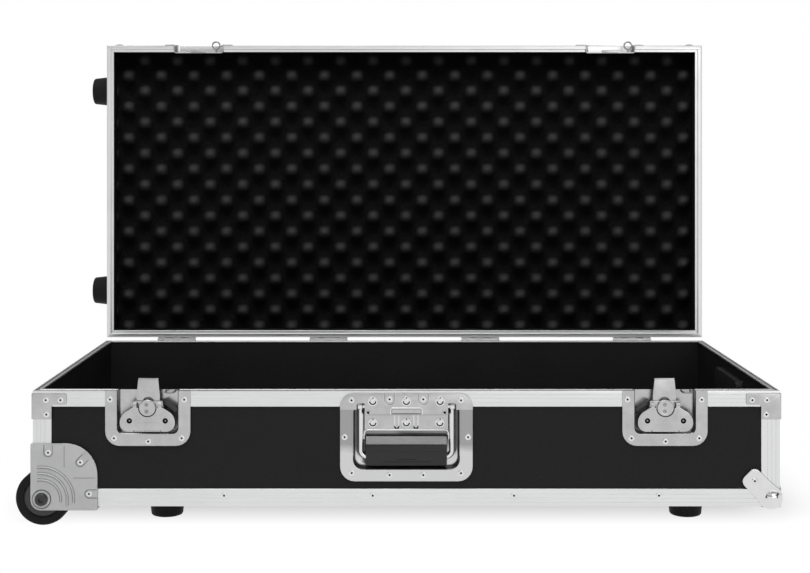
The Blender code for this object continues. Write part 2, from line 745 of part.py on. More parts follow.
# Corner fittings.
def corner_brace():
    """Bent brace around an upright corner, its top below z = 0."""
    top = -BRACE_TOP_INSET
    arm_bottom = top - BRACE_ARM_HEIGHT
    corners = [
        (0, top, 0), (BRACE_ARM, top, BRACE_RADIUS), (BRACE_ARM, arm_bottom, BRACE_RADIUS),
        (BRACE_POST, arm_bottom, BRACE_RADIUS), (BRACE_POST, -BRACE_DROP, BRACE_RADIUS), (0, -BRACE_DROP, 0),
    ]
    outline = rounded(corners, 2)
    bm = bmesh.new()
    fold = {}
    for distance in (FIT_GAP, BRACE_OUTER):
        fold[distance] = (bm.verts.new((-distance, -distance, top)), bm.verts.new((-distance, -distance, -BRACE_DROP)))
    for turn in (Matrix.Identity(4), SWAP_SIDES):
        sheets = []
        for distance in (FIT_GAP, BRACE_OUTER):
            arm = [bm.verts.new(turn @ Vector((x, -distance, z))) for x, z in outline[1:-1]]
            sheets.append([fold[distance][0], *arm, fold[distance][1]])
            bm.faces.new(sheets[-1])
        inner, outer = sheets
        for index in range(1, len(inner)):
            bm.faces.new((inner[index - 1], inner[index], outer[index], outer[index - 1]))
    bmesh.ops.recalc_face_normals(bm, faces=bm.faces)
    return mesh_from(bm)


def riveted_brace(root):
    """Corner brace with its rivets; those over the rim's leg go as deep as the given root."""
    heads = []
    for along, drop in BRACE_RIVETS:
        depth = root if drop < RIM_LEG else RIVET_ROOT
        heads.append(rivet((along, -BRACE_OUTER, -drop), (0, -1, 0), depth))
        heads.append(rivet((-BRACE_OUTER, along, -drop), (-1, 0, 0), depth))
    return union(corner_brace(), *heads)


def finger_outline():
    """Finger of a ball corner: from the folds at the two edges, along the diagonal of a face."""
    diagonal = Vector((1, 1)).normalized()
    across = Vector((-1, 1)).normalized()
    fold = -FIT_GAP - BALL_SKIN
    points = [
        (FINGER_LENGTH / 2, FINGER_HALF_WIDTH, 0), (FINGER_LENGTH, FINGER_HALF_WIDTH, FINGER_TIP_RADIUS),
        (FINGER_LENGTH, -FINGER_HALF_WIDTH, FINGER_TIP_RADIUS), (FINGER_LENGTH / 2, -FINGER_HALF_WIDTH, 0),
    ]
    finger = [(*(diagonal * along + across * side), radius) for along, side, radius in points]
    return rounded([(fold, fold, 0), (fold, FINGER_SKIRT, 0), *finger, (FINGER_SKIRT, fold, 0)])


def ball_corner():
    """Pressed corner with a ball over the point and a finger on each of the three faces."""
    bottom = plate(finger_outline(), BALL_SKIN)
    bottom.transform(Matrix.Translation((0, 0, -FIT_GAP - BALL_SKIN)))
    side = placed(bottom, ALONG_X)
    front = placed(bottom, ALONG_X @ ALONG_X)
    centre = (BALL_INSET, BALL_INSET, BALL_INSET)
    shell = union(ball(centre, BALL_RADIUS, SIDES_MEDIUM), bottom, side, front)
    reach = FINGER_LENGTH + OVERRUN
    inside = box((-FIT_GAP, -FIT_GAP, -FIT_GAP), (reach, reach, reach))
    along = FINGER_RIVET / math.sqrt(2)
    face = FIT_GAP + BALL_SKIN
    rivets = (
        rivet((along, along, -face), (0, 0, -1)),
        rivet((along, -face, along), (0, -1, 0)),
        rivet((-face, along, along), (-1, 0, 0)),
    )
    return union(difference(shell, inside), *rivets)


# Wheels and their brackets, in the frame of the lower left front corner.
def wheel_bracket():
    left = -BRACKET_SIDE_PROUD
    low = -BRACKET_BOTTOM_PROUD
    right = left + BRACKET_SIZE
    high = low + BRACKET_SIZE
    face = FIT_GAP + BRACKET_PLATE
    front_outline = [
        (left, low, BRACKET_FOOT_ROUND), (right, low, BRACKET_EDGE_ROUND), (right, high, BRACKET_ROUND),
        (left, high, BRACKET_EDGE_ROUND),
    ]
    front = front_plate(rounded(front_outline, 5), FIT_GAP, face)
    root = -FIT_GAP - BRACKET_PLATE / 2
    lip = BRACKET_LIP
    side = box((left + lip, root, low + BRACKET_FOOT_ROUND), (-FIT_GAP, BRACKET_SIDE_DEPTH, high - lip))
    bottom = box((left + BRACKET_FOOT_ROUND, root, low + lip), (right - lip, BRACKET_SIDE_DEPTH, -FIT_GAP))
    housing = box((left / 2, root, low / 2), (HOUSING_X, HOUSING_Y, HOUSING_Z))
    axle = (WHEEL_SIDE_INSET, WHEEL_AXLE_RISE)
    boss = rod((axle[0], 0, axle[1]), (axle[0], -face - BRACKET_BOSS_HEIGHT, axle[1]), BRACKET_BOSS_RADIUS, SIDES_FINE)
    cavity = rod(
        (axle[0], WHEEL_CAVITY_START, axle[1]), (axle[0], WHEEL_CAVITY_END, axle[1]), WHEEL_CAVITY_RADIUS, SIDES_FINE
    )
    bore = rod((axle[0], -OVERRUN, axle[1]), (axle[0], HOUSING_Y + OVERRUN, axle[1]), AXLE_RADIUS + FIT_GAP)
    seat = rod(
        (axle[0], -face - OVERRUN, axle[1]), (axle[0], -face, axle[1]), AXLE_HEAD_RADIUS + FIT_GAP
    )
    rivets = [rivet((x, -face, z), (0, -1, 0)) for x, z in BRACKET_RIVETS]
    body = union(front, side, bottom, housing, boss, *rivets)
    return difference(body, cavity, bore, seat)


def axle_bolt():
    x = WHEEL_SIDE_INSET
    z = WHEEL_AXLE_RISE
    head_back = -(FIT_GAP + BRACKET_PLATE) - FIT_GAP
    head_front = head_back - AXLE_HEAD_HEIGHT
    head = rod((x, head_back, z), (x, head_front, z), AXLE_HEAD_RADIUS)
    shaft = rod((x, head_back - AXLE_HEAD_HEIGHT / 2, z), (x, HOUSING_Y, z), AXLE_RADIUS)
    socket = rod((x, head_front - OVERRUN, z), (x, head_front + AXLE_SOCKET_DEPTH, z), AXLE_SOCKET_RADIUS, 6)
    return difference(union(head, shaft), socket)


def wheel():
    """Wheel with its tread moulded on the hub, in the frame of its axle, spinning about y."""
    half = WHEEL_WIDTH / 2
    bore = AXLE_RADIUS + FIT_GAP
    nave = bore + AXLE_RADIUS
    web = half - HUB_RECESS
    shoulder = WHEEL_RADIUS - TYRE_ROUNDING
    upper = [
        (bore, half), (nave, half), (nave, web), (HUB_RADIUS, web), (HUB_RADIUS, half), (shoulder, half),
        (WHEEL_RADIUS, half - TYRE_ROUNDING),
    ]
    lower = [(radius, -height) for radius, height in reversed(upper)]
    return placed(turned(upper + lower), STAND_UP)


# Feet.
def foot(height):
    """Rubber foot standing on z = 0."""
    low_radius = FOOT_RADIUS - FOOT_TAPER
    profile = [
        (0, height), (FOOT_RADIUS, height), (FOOT_RADIUS, height - FOOT_ROUNDING), (low_radius, FOOT_ROUNDING),
        (low_radius - FOOT_ROUNDING, 0), (0, 0),
    ]
    return turned(profile)


def base_feet():
    height = GROUND_CLEARANCE + PANEL_INSET - FIT_GAP
    xs = {"left": CASE_WIDTH * FOOT_LEFT_SHARE, "right": CASE_WIDTH * FOOT_RIGHT_SHARE}
    ys = {"front": FOOT_EDGE_DISTANCE, "back": CASE_DEPTH - FOOT_EDGE_DISTANCE}
    return {
        f"base_foot_{end}_{side}": placed(foot(height), Matrix.Translation((x, y, 0)))
        for side, x in xs.items()
        for end, y in ys.items()
    }


def lid_feet():
    height = GROUND_CLEARANCE - FIT_GAP
    z = LID_RIM_Z + LID_FOOT_RISE
    outer = -HALF_WIDTH - FIT_GAP - height
    turn = Matrix.Rotation(QUARTER, 4, "Y")
    ys = {"front": LID_FOOT_DISTANCE, "back": CASE_DEPTH - LID_FOOT_DISTANCE}
    return {
        f"lid_foot_{end}": placed(foot(height), Matrix.Translation((outer, y, z)) @ turn) for end, y in ys.items()
    }


# Latches, in a frame on the front face at the rim, over the latch's middle.
def latch_eye(z_low):
    """Tab with a hole for a padlock, reaching out from the cup's floor."""
    straight = EYE_OFFSET - EYE_RADIUS
    far = EYE_OFFSET + EYE_RADIUS
    outline = [
        (straight, LATCH_CUP_DEPTH + DISH_WALL / 2, 0), (straight, -EYE_RADIUS, EYE_RADIUS),
        (far, -EYE_RADIUS, EYE_RADIUS), (far, LATCH_CUP_DEPTH + DISH_WALL / 2, 0),
    ]
    tab = plate(rounded(outline), EYE_THICKNESS, circle((EYE_OFFSET, 0), EYE_HOLE_RADIUS))
    tab.transform(Matrix.Translation((0, 0, z_low)))
    return tab


def latch_dish(mirror):
    """Dish of a latch with its rivets, its padlock eye and the leaf of its detent."""
    half = LATCH_DISH_WIDTH / 2
    cup_half = LATCH_CUP_WIDTH / 2
    top = -FIT_GAP
    flange_outline = [
        (-half, top, 0), (-half, -LATCH_DISH_DROP, LATCH_DISH_ROUND), (half, -LATCH_DISH_DROP, LATCH_DISH_ROUND),
        (half, top, 0),
    ]
    outer_half = cup_half + DISH_WALL
    outer_bottom = -LATCH_CUP_DROP - DISH_WALL
    outer_round = LATCH_CUP_ROUND + DISH_WALL
    cup_outline = [
        (-outer_half, top, 0), (-outer_half, outer_bottom, outer_round), (outer_half, outer_bottom, outer_round),
        (outer_half, top, 0),
    ]
    hollow_outline = [
        (-cup_half, OVERRUN, 0), (-cup_half, -LATCH_CUP_DROP, LATCH_CUP_ROUND),
        (cup_half, -LATCH_CUP_DROP, LATCH_CUP_ROUND), (cup_half, OVERRUN, 0),
    ]
    flange = front_plate(rounded(flange_outline), FIT_GAP, FLANGE_FACE)
    cup = front_plate(rounded(cup_outline), -LATCH_CUP_DEPTH - DISH_WALL, FIT_GAP + DISH_WALL / 2)
    hollow = front_plate(rounded(hollow_outline), -LATCH_CUP_DEPTH, OVERRUN)
    pin_hole = rod(
        (0, 0, -LATCH_BOSS_DROP), (0, LATCH_CUP_DEPTH + OVERRUN, -LATCH_BOSS_DROP), LATCH_PIN_RADIUS + FIT_GAP
    )
    dish = difference(union(flange, cup), hollow, pin_hole)
    rivets = [rivet((x, -FLANGE_FACE, -drop), (0, -1, 0)) for x, drop in LATCH_RIVETS]
    return union(dish, latch_eye(-EYE_RIM_GAP - EYE_THICKNESS), latch_detent(mirror), *rivets)


def latch_hook():
    """Hook plate, raised, with the slot that the drive's collar turns in and a lip bent inward."""
    half = HOOK_WIDTH / 2
    top_half = HOOK_TOP_WIDTH / 2
    slot = LATCH_COLLAR_RADIUS + FIT_GAP
    slot_bottom = -LATCH_BOSS_DROP - slot
    slot_top = -LATCH_BOSS_DROP + slot + HOOK_PULL_DOWN
    bottom = slot_bottom - HOOK_TAIL
    outline = [
        (-top_half, HOOK_RISE, 0), (-half, -HOOK_SHOULDER_DROP, 0), (-half, bottom, BRACE_RADIUS),
        (half, bottom, BRACE_RADIUS), (half, -HOOK_SHOULDER_DROP, 0), (top_half, HOOK_RISE, 0),
    ]
    slot_outline = rounded(
        [(-slot, slot_bottom, slot), (slot, slot_bottom, slot), (slot, slot_top, slot), (-slot, slot_top, slot)]
    )
    back = -HOOK_FACE_DEPTH - HOOK_THICKNESS
    sheet = front_plate(rounded(outline), back, -HOOK_FACE_DEPTH, slot_outline)
    lip = box(
        (-top_half, HOOK_FACE_DEPTH + HOOK_THICKNESS / 2, HOOK_RISE - HOOK_THICKNESS),
        (top_half, -back + HOOK_LIP_REACH, HOOK_RISE),
    )
    return union(sheet, lip)


def latch_drive():
    """Turning piece: knob, collar in the hook's slot, pin through the dish and a yoke for the wing."""
    boss_front = -(WING_BACK + LATCH_BOSS_HEIGHT)
    collar_back = HOOK_FACE_DEPTH + HOOK_THICKNESS + HOOK_PULL_IN + FIT_GAP
    pin_end = LATCH_CUP_DEPTH + DISH_WALL + FIT_GAP + LATCH_PIN_HEAD_HEIGHT
    knob = rod((0, -WING_BACK + FIT_GAP, 0), (0, boss_front, 0), LATCH_BOSS_RADIUS, SIDES_FINE)
    collar = rod((0, -WING_BACK, 0), (0, collar_back, 0), LATCH_COLLAR_RADIUS)
    pin = rod((0, 0, 0), (0, pin_end, 0), LATCH_PIN_RADIUS, SIDES_COARSE)
    pin_head = rod((0, pin_end - LATCH_PIN_HEAD_HEIGHT, 0), (0, pin_end, 0), LATCH_PIN_HEAD_RADIUS, SIDES_COARSE)
    yoke_back = -HOOK_FACE_DEPTH + YOKE_HOOK_GAP
    yoke_outline = rounded([
        (-YOKE_HALF_WIDTH, YOKE_RISE, BRACE_RADIUS), (-YOKE_HALF_WIDTH, -YOKE_FOOT, BRACE_RADIUS),
        (YOKE_HALF_WIDTH, -YOKE_FOOT, BRACE_RADIUS), (YOKE_HALF_WIDTH, YOKE_RISE, BRACE_RADIUS),
    ])
    yoke = front_plate(yoke_outline, yoke_back, yoke_back + YOKE_THICKNESS)
    parts = [collar, pin, pin_head, yoke]
    ear_front = -WING_AXIS_PROUD - WING_BARREL_RADIUS
    ear_low = WING_AXIS_RISE - EAR_HALF_HEIGHT
    ear_high = WING_AXIS_RISE + EAR_HALF_HEIGHT
    for side in (-1, 1):
        outer = side * YOKE_HALF_WIDTH
        inner = side * (YOKE_HALF_WIDTH - EAR_THICKNESS)
        low_x, high_x = sorted((outer, inner))
        parts.append(box((low_x, ear_front, ear_low), (high_x, -yoke_back - YOKE_THICKNESS / 2, ear_high)))
        tip = side * (WING_ARM_INNER + EAR_THICKNESS)
        parts.append(rod((outer - side * EAR_THICKNESS / 2, -WING_AXIS_PROUD, WING_AXIS_RISE),
                         (tip, -WING_AXIS_PROUD, WING_AXIS_RISE), WING_PIN_RADIUS, SIDES_COARSE))
    return union(knob, *parts)


def latch_wing():
    """Butterfly wing in the frame of its own pivot, hanging folded."""
    centre_z = -WING_AXIS_RISE
    arm_outer = YOKE_HALF_WIDTH - EAR_THICKNESS - FIT_GAP
    arm_foot = -math.hypot(EAR_HALF_HEIGHT, WING_BARREL_RADIUS) - FIT_GAP
    shoulder = WING_CORNER_SPREAD + WING_CORNER_RADIUS
    corner_low = centre_z - WING_CORNER_DROP - WING_CORNER_RADIUS
    outline = rounded([
        (arm_outer, 0, 0),
        (arm_outer, arm_foot, 0),
        (shoulder, centre_z - WING_CORNER_DROP / 2, WING_CORNER_RADIUS),
        (shoulder, corner_low, WING_CORNER_RADIUS),
        (-shoulder, corner_low, WING_CORNER_RADIUS),
        (-shoulder, centre_z - WING_CORNER_DROP / 2, WING_CORNER_RADIUS),
        (-arm_outer, arm_foot, 0),
        (-arm_outer, 0, 0),
    ])
    half = WING_THICKNESS / 2
    hole_z = centre_z - WING_HOLE_DROP
    holes = [circle((side * WING_HOLE_SPREAD, hole_z), WING_HOLE_RADIUS, SIDES_COARSE) for side in (-1, 1)]
    sheet = front_plate(outline, -half, half, *holes)
    notch_radius = LATCH_BOSS_RADIUS + WING_NOTCH_GAP
    notch = rod((0, -OVERRUN, centre_z), (0, OVERRUN, centre_z), notch_radius, SIDES_FINE)
    gap = box((-WING_ARM_INNER, -OVERRUN, centre_z), (WING_ARM_INNER, OVERRUN, OVERRUN))
    body = difference(sheet, notch, gap)
    for side in (-1, 1):
        inner = side * WING_ARM_INNER
        outer = side * arm_outer
        body = union(body, rod((inner, 0, 0), (outer, 0, 0), WING_BARREL_RADIUS, SIDES_COARSE))
        body = difference(body, rod((inner - side * FIT_GAP, 0, 0), (outer + side * OVERRUN, 0, 0),
                                    WING_PIN_RADIUS + FIT_GAP, SIDES_COARSE))
    return body


def latch_detent(mirror):
    """Spring leaf beside the hook that holds the drive, slanting down to the cup's wall."""
    start = Vector((mirror * DETENT_START[0], -DETENT_START[1]))
    end = Vector((mirror * DETENT_END[0], -DETENT_END[1]))
    across = (end - start).orthogonal().normalized() * (DETENT_WIDTH / 2)
    outline = [start + across, end + across, end - across, start - across]
    wall = LATCH_CUP_WIDTH / 2 + DISH_WALL / 2
    trimmed = [(max(-wall, min(wall, point.x)), point.y) for point in outline]
    return front_plate(trimmed, -LATCH_CUP_DEPTH - DISH_WALL / 2, -DETENT_FACE_DEPTH)


def keeper():
    """Keeper dish on the lid: flange, cup, the nose that the hook catches and a padlock eye."""
    half = LATCH_DISH_WIDTH / 2
    cup_half = LATCH_CUP_WIDTH / 2
    low = LID_SEAT_GAP + FIT_GAP
    flange_outline = [
        (-half, low, 0), (half, low, 0), (half, KEEPER_DISH_RISE, LATCH_DISH_ROUND),
        (-half, KEEPER_DISH_RISE, LATCH_DISH_ROUND),
    ]
    outer_half = cup_half + DISH_WALL
    outer_top = KEEPER_CUP_RISE + DISH_WALL
    outer_round = LATCH_CUP_ROUND + DISH_WALL
    cup_outline = [
        (-outer_half, low, 0), (outer_half, low, 0), (outer_half, outer_top, outer_round),
        (-outer_half, outer_top, outer_round),
    ]
    hollow_outline = [
        (-cup_half, -OVERRUN, 0), (cup_half, -OVERRUN, 0), (cup_half, KEEPER_CUP_RISE, LATCH_CUP_ROUND),
        (-cup_half, KEEPER_CUP_RISE, LATCH_CUP_ROUND),
    ]
    flange = front_plate(rounded(flange_outline), FIT_GAP, FLANGE_FACE)
    cup = front_plate(rounded(cup_outline), -LATCH_CUP_DEPTH - DISH_WALL, FIT_GAP + DISH_WALL / 2)
    hollow = front_plate(rounded(hollow_outline), -LATCH_CUP_DEPTH, OVERRUN)
    nose_half = KEEPER_NOSE_WIDTH / 2
    nose_face = HOOK_FACE_DEPTH + HOOK_THICKNESS + HOOK_LIP_REACH + KEEPER_NOSE_GAP
    nose = box((-nose_half, nose_face, low), (nose_half, LATCH_CUP_DEPTH + DISH_WALL / 2, KEEPER_NOSE_RISE))
    dish = difference(union(flange, cup), hollow)
    rivets = [rivet((x, -FLANGE_FACE, rise), (0, -1, 0)) for x, rise in KEEPER_RIVETS]
    return union(dish, nose, latch_eye(LID_SEAT_GAP + EYE_RIM_GAP), *rivets)


# Recessed handles, in a frame on the face at the rim, over the handle's middle.
def handle_frames():
    front, right = side_frames(RIM_Z)[:2]
    return front, right


def handle_dish():
    half = HANDLE_WIDTH / 2
    cup_half = HANDLE_CUP_WIDTH / 2
    flange_outline = [
        (-half, -HANDLE_TOP_DROP, HANDLE_ROUND), (-half, -HANDLE_BOTTOM_DROP, HANDLE_ROUND),
        (half, -HANDLE_BOTTOM_DROP, HANDLE_ROUND), (half, -HANDLE_TOP_DROP, HANDLE_ROUND),
    ]
    wall = HANDLE_FLANGE
    outer = cup_corners(cup_half + wall, -HANDLE_CUP_TOP_DROP + wall, -HANDLE_CUP_BOTTOM_DROP - wall,
                        HANDLE_CUP_ROUND + wall)
    inner = cup_corners(cup_half, -HANDLE_CUP_TOP_DROP, -HANDLE_CUP_BOTTOM_DROP, HANDLE_CUP_ROUND)
    flange = front_plate(rounded(flange_outline), FIT_GAP, HANDLE_FACE)
    cup = front_plate(rounded(outer), -HANDLE_CUP_DEPTH - wall, FIT_GAP + wall / 2)
    hollow = front_plate(rounded(inner), -HANDLE_CUP_DEPTH, OVERRUN)
    places = zip(LOWER_RIVET_SHARES, LOWER_RIVET_DROPS)
    rivets = [rivet((half * share, -HANDLE_FACE, -drop), (0, -1, 0)) for share, drop in places]
    return union(difference(union(flange, cup), hollow), *rivets)


def cup_corners(half, top, bottom, radius):
    """Corners of a cup's outline: tight at the top, round at the bottom."""
    tight = radius / 2
    return [(-half, top, tight), (-half, bottom, radius), (half, bottom, radius), (half, top, tight)]


def handle_backplate(root):
    """Bent plate over the bail's pivots, with a shelf in the cup, two lugs and rivets as deep as the root."""
    half = HANDLE_WIDTH / 2
    thickness = BACKPLATE_THICKNESS
    middle = -BACKPLATE_BACK - thickness / 2
    apron = SHELF_HALF_WIDTH - FIT_GAP
    apron_low = -BACKPLATE_STEP_DROP + thickness / 2
    top_outline = rounded([
        (-half, -HANDLE_TOP_DROP, HANDLE_ROUND), (-half, -BACKPLATE_SIDE_DROP, 0), (-apron, -BACKPLATE_SIDE_DROP, 0),
        (-apron, apron_low, 0), (apron, apron_low, 0), (apron, -BACKPLATE_SIDE_DROP, 0),
        (half, -BACKPLATE_SIDE_DROP, 0), (half, -HANDLE_TOP_DROP, HANDLE_ROUND),
    ])
    top = front_plate(top_outline, BACKPLATE_BACK, BACKPLATE_FACE)
    shelf_foot = HANDLE_CUP_DEPTH - FIT_GAP
    section = [
        (middle, -BACKPLATE_STEP_DROP), (SHELF_DEPTH, -BACKPLATE_STEP_DROP),
        (SHELF_DEPTH, -SHELF_BOTTOM_DROP), (shelf_foot, -SHELF_BOTTOM_DROP),
        (shelf_foot, thickness - SHELF_BOTTOM_DROP), (SHELF_DEPTH + thickness, thickness - SHELF_BOTTOM_DROP),
        (SHELF_DEPTH + thickness, thickness - BACKPLATE_STEP_DROP), (middle, thickness - BACKPLATE_STEP_DROP),
    ]
    shelf = beam(section, 2 * SHELF_HALF_WIDTH)
    bead_y = SHELF_DEPTH + SHELF_BEAD_RADIUS / 2
    bead_z = -SHELF_BOTTOM_DROP + SHELF_BEAD_RADIUS / 2
    bead_half = SHELF_HALF_WIDTH - FIT_GAP
    bead = rod((-bead_half, bead_y, bead_z), (bead_half, bead_y, bead_z), SHELF_BEAD_RADIUS, SIDES_COARSE)
    parts = [shelf, bead, backplate_frame(), *finger_tabs()]
    notch_low = BAIL_HALF_WIDTH - BAIL_ROD_RADIUS - BAIL_NOTCH_CLEARANCE
    notch_high = BAIL_HALF_WIDTH + BAIL_ROD_RADIUS + BAIL_NOTCH_CLEARANCE
    notches = []
    bores = []
    for side in (-1, 1):
        low_x, high_x = sorted((side * notch_low, side * notch_high))
        notches.append(box((low_x, -OVERRUN, -BACKPLATE_SIDE_DROP - OVERRUN), (high_x, OVERRUN, -HANDLE_CUP_TOP_DROP)))
        lug_outer = side * (notch_low - FIT_GAP)
        lug_inner = side * (notch_low - FIT_GAP - LUG_THICKNESS)
        low_x, high_x = sorted((lug_outer, lug_inner))
        lug_low = -BAIL_AXIS_DROP - LUG_HALF_HEIGHT
        lug_high = -BAIL_AXIS_DROP + LUG_HALF_HEIGHT - FIT_GAP
        parts.append(box((low_x, middle, lug_low), (high_x, BAIL_AXIS_DEPTH + LUG_HALF_HEIGHT, lug_high)))
        bores.append(rod((side * (notch_high + OVERRUN), BAIL_AXIS_DEPTH, -BAIL_AXIS_DROP),
                         (lug_inner - side * OVERRUN, BAIL_AXIS_DEPTH, -BAIL_AXIS_DROP), BAIL_ROD_RADIUS + FIT_GAP))
    body = difference(top, *notches)
    outward = (0, -1, 0)
    for share, drop in zip(UPPER_RIVET_SHARES, UPPER_RIVET_DROPS):
        parts.append(rivet((half * share, -BACKPLATE_FACE, -drop), outward, root))
    for x in (-BIG_RIVET_SPREAD, 0, BIG_RIVET_SPREAD):
        parts.append(washered_rivet((x, -BACKPLATE_FACE, -BIG_RIVET_UPPER_DROP), outward))
        parts.append(washered_rivet((x, SHELF_DEPTH, -BIG_RIVET_LOWER_DROP), outward))
    return difference(union(body, *parts), *bores)


def backplate_frame():
    """Raised frame, bare inside, pressed into the upper plate and open at its foot."""
    low = -BACKPLATE_STEP_DROP + FRAME_BAR
    high = -FRAME_TOP_DROP
    outer = FRAME_HALF_WIDTH
    inner = FRAME_HALF_WIDTH - FRAME_BAR
    outline = rounded([
        (-outer, low, 0), (-inner, low, 0), (-inner, high - FRAME_BAR, 0), (inner, high - FRAME_BAR, 0),
        (inner, low, 0), (outer, low, 0), (outer, high, FRAME_BAR), (-outer, high, FRAME_BAR),
    ], 3)
    return front_plate(outline, BACKPLATE_BACK + BACKPLATE_THICKNESS / 2, BACKPLATE_FACE + FRAME_HEIGHT)


def finger_tabs():
    """Two pressed ribs on the shelf."""
    top = -BACKPLATE_STEP_DROP - FIT_GAP
    bottom = top - TAB_LENGTH
    y = SHELF_DEPTH + BACKPLATE_THICKNESS / 2
    return [rod((x, y, top), (x, y, bottom), TAB_RADIUS, SIDES_COARSE) for x in (-TAB_SPREAD, TAB_SPREAD)]


def bail_rod():
    """Bent rod in the frame of its pivot axis: stubs, legs and the bar through the grip."""
    low = BAIL_AXIS_DROP - BAIL_BOTTOM_DROP
    stub = BAIL_HALF_WIDTH - BAIL_STUB
    bend = BAIL_ROD_RADIUS + FIT_GAP
    right = rounded([
        (0, low, 0), (BAIL_HALF_WIDTH, low, BAIL_BEND_RADIUS), (BAIL_HALF_WIDTH, 0, bend), (stub, 0, 0),
    ])
    right[0:1] = []
    left = [(-x, z) for x, z in reversed(right)]
    points = [(x, 0, z) for x, z in (*left, *right)]
    return wire(points, BAIL_ROD_RADIUS)


def bail_grip():
    """Rubber grip around the bail's lower bar, in the frame of the pivot axis."""
    top = BAIL_AXIS_DROP - GRIP_TOP_DROP
    bottom = BAIL_AXIS_DROP - GRIP_BOTTOM_DROP
    half = GRIP_THICKNESS / 2
    section = rounded([
        (-half, top, GRIP_ROUND), (-half, bottom, GRIP_ROUND), (half, bottom, GRIP_ROUND), (half, top, GRIP_ROUND),
    ])
    bar_z = BAIL_AXIS_DROP - BAIL_BOTTOM_DROP
    bore = rod((-GRIP_LENGTH, 0, bar_z), (GRIP_LENGTH, 0, bar_z), BAIL_ROD_RADIUS + FIT_GAP)
    return difference(beam(section, GRIP_LENGTH), bore)


# Hinges, in the case's frame with the lid closed.
def knuckle_spans(x, own):
    """Stretches along x of one leaf's knuckles; own is 0 for the base leaf and 1 for the lid leaf."""
    pitch = HINGE_LENGTH / HINGE_KNUCKLES
    start = x - HINGE_LENGTH / 2
    return [
        (start + pitch * index + FIT_GAP / 2, start + pitch * (index + 1) - FIT_GAP / 2)
        for index in range(own, HINGE_KNUCKLES, 2)
    ]


def hinge_leaf(x, own):
    """Leaf with teeth that reach its knuckles; the base leaf hangs down and holds the pin, the lid leaf stands up."""
    direction = 1 if own else -1
    near = RIM_Z + direction * (HINGE_BARREL_RADIUS + FIT_GAP)
    far = RIM_Z + direction * HINGE_LEAF_HEIGHT
    tooth_far = RIM_Z + direction * HINGE_LEAF_HEIGHT / 2
    tooth_z = RIM_Z - direction * HINGE_TOOTH_INSET
    half = HINGE_LENGTH / 2
    back = CASE_DEPTH + FIT_GAP
    face = back + HINGE_LEAF_THICKNESS
    parts = []
    bores = []
    for start, end in knuckle_spans(x, own):
        low, high = sorted((tooth_z, tooth_far))
        parts.append(box((start + HINGE_TOOTH_INSET, back, low), (end - HINGE_TOOTH_INSET, face, high)))
        parts.append(hinge_rod(start, end, HINGE_BARREL_RADIUS))
        bores.append(hinge_rod(start - FIT_GAP, end + FIT_GAP, HINGE_PIN_RADIUS + FIT_GAP))
    low, high = sorted((near, far))
    leaf = box((x - half, back, low), (x + half, face, high))
    rivet_z = RIM_Z + direction * HINGE_RIVET_DROP
    for share in HINGE_RIVET_SHARES:
        parts.append(rivet((x + HINGE_LENGTH * share, face, rivet_z), (0, 1, 0)))
    if own:
        return difference(union(leaf, *parts), *bores)
    return union(leaf, *parts, hinge_rod(x - half - FIT_GAP, x + half + FIT_GAP, HINGE_PIN_RADIUS))


def hinge_rod(start, end, radius):
    """Round bar on the hinge line."""
    return rod((start, HINGE_Y, RIM_Z), (end, HINGE_Y, RIM_Z), radius, HINGE_SIDES)


# Foam, in the case's frame with the lid closed.
def egg_crate_foam():
    """Foam slab under the lid's top panel, its face a grid of peaks and hollows in turn."""
    half_width = INNER_HALF_WIDTH - FOAM_EDGE_GAP
    low_y = PANEL_INSET + PANEL_THICKNESS + FOAM_EDGE_GAP
    depth = CASE_DEPTH - 2 * low_y
    back = LID_TOP_Z - PANEL_INSET - PANEL_THICKNESS - FIT_GAP
    columns = 2 * round(half_width * 2 / FOAM_PEAK_SPACING)
    rows = round(depth / FOAM_ROW_SPACING)
    bm = bmesh.new()
    bmesh.ops.create_grid(
        bm, x_segments=columns, y_segments=rows, size=0.5, matrix=Matrix.Diagonal((2 * half_width, depth, 1, 1))
    )
    hollows = set()
    for vertex in bm.verts:
        column = round((vertex.co.x / (2 * half_width) + 0.5) * columns)
        row = round((vertex.co.y / depth + 0.5) * rows)
        peak = (column + row) % 2
        if not peak:
            hollows.add(vertex)
        vertex.co.y += CASE_DEPTH / 2
        vertex.co.z = back - FOAM_BACKING - FOAM_PEAK_HEIGHT * peak
    for face in list(bm.faces):
        bmesh.utils.face_split(face, *(vertex for vertex in face.verts if vertex in hollows))
    edge = [item for item in bm.edges if item.is_boundary]
    skirt = bmesh.ops.extrude_edge_only(bm, edges=edge)["geom"]
    for item in skirt:
        if isinstance(item, bmesh.types.BMVert):
            item.co.z = back
    rim = [item for item in skirt if isinstance(item, bmesh.types.BMEdge) and item.is_boundary]
    bmesh.ops.contextual_create(bm, geom=rim)
    bmesh.ops.recalc_face_normals(bm, faces=bm.faces)
    return mesh_from(bm)


# Assembly.
class Builder:
    """Makes the named objects, each with its own material, under the frames that carry them."""

    def __init__(self, name):
        self.collection = make_collection(name)

    def frame(self, name, parent, place, turn=(0, 0, 0)):
        empty = bpy.data.objects.new(name, None)
        empty.location = place
        empty.rotation_euler = turn
        empty.parent = parent
        self.collection.objects.link(empty)
        return empty

    def part(self, name, mesh, finish, parent, origin=(0, 0, 0)):
        """Adds a mesh given in its parent's frame, with its object's origin at the given place."""
        colour, roughness, metallic = finish
        mesh.name = name
        mesh.transform(Matrix.Translation(-Vector(origin)))
        mesh.materials.clear()
        mesh.materials.append(make_material(name, colour, roughness, metallic))
        mesh.shade_smooth()
        mesh.set_sharp_from_angle(angle=SMOOTH_ANGLE)
        item = bpy.data.objects.new(name, mesh)
        item.location = origin
        item.parent = parent
        self.collection.objects.link(item)


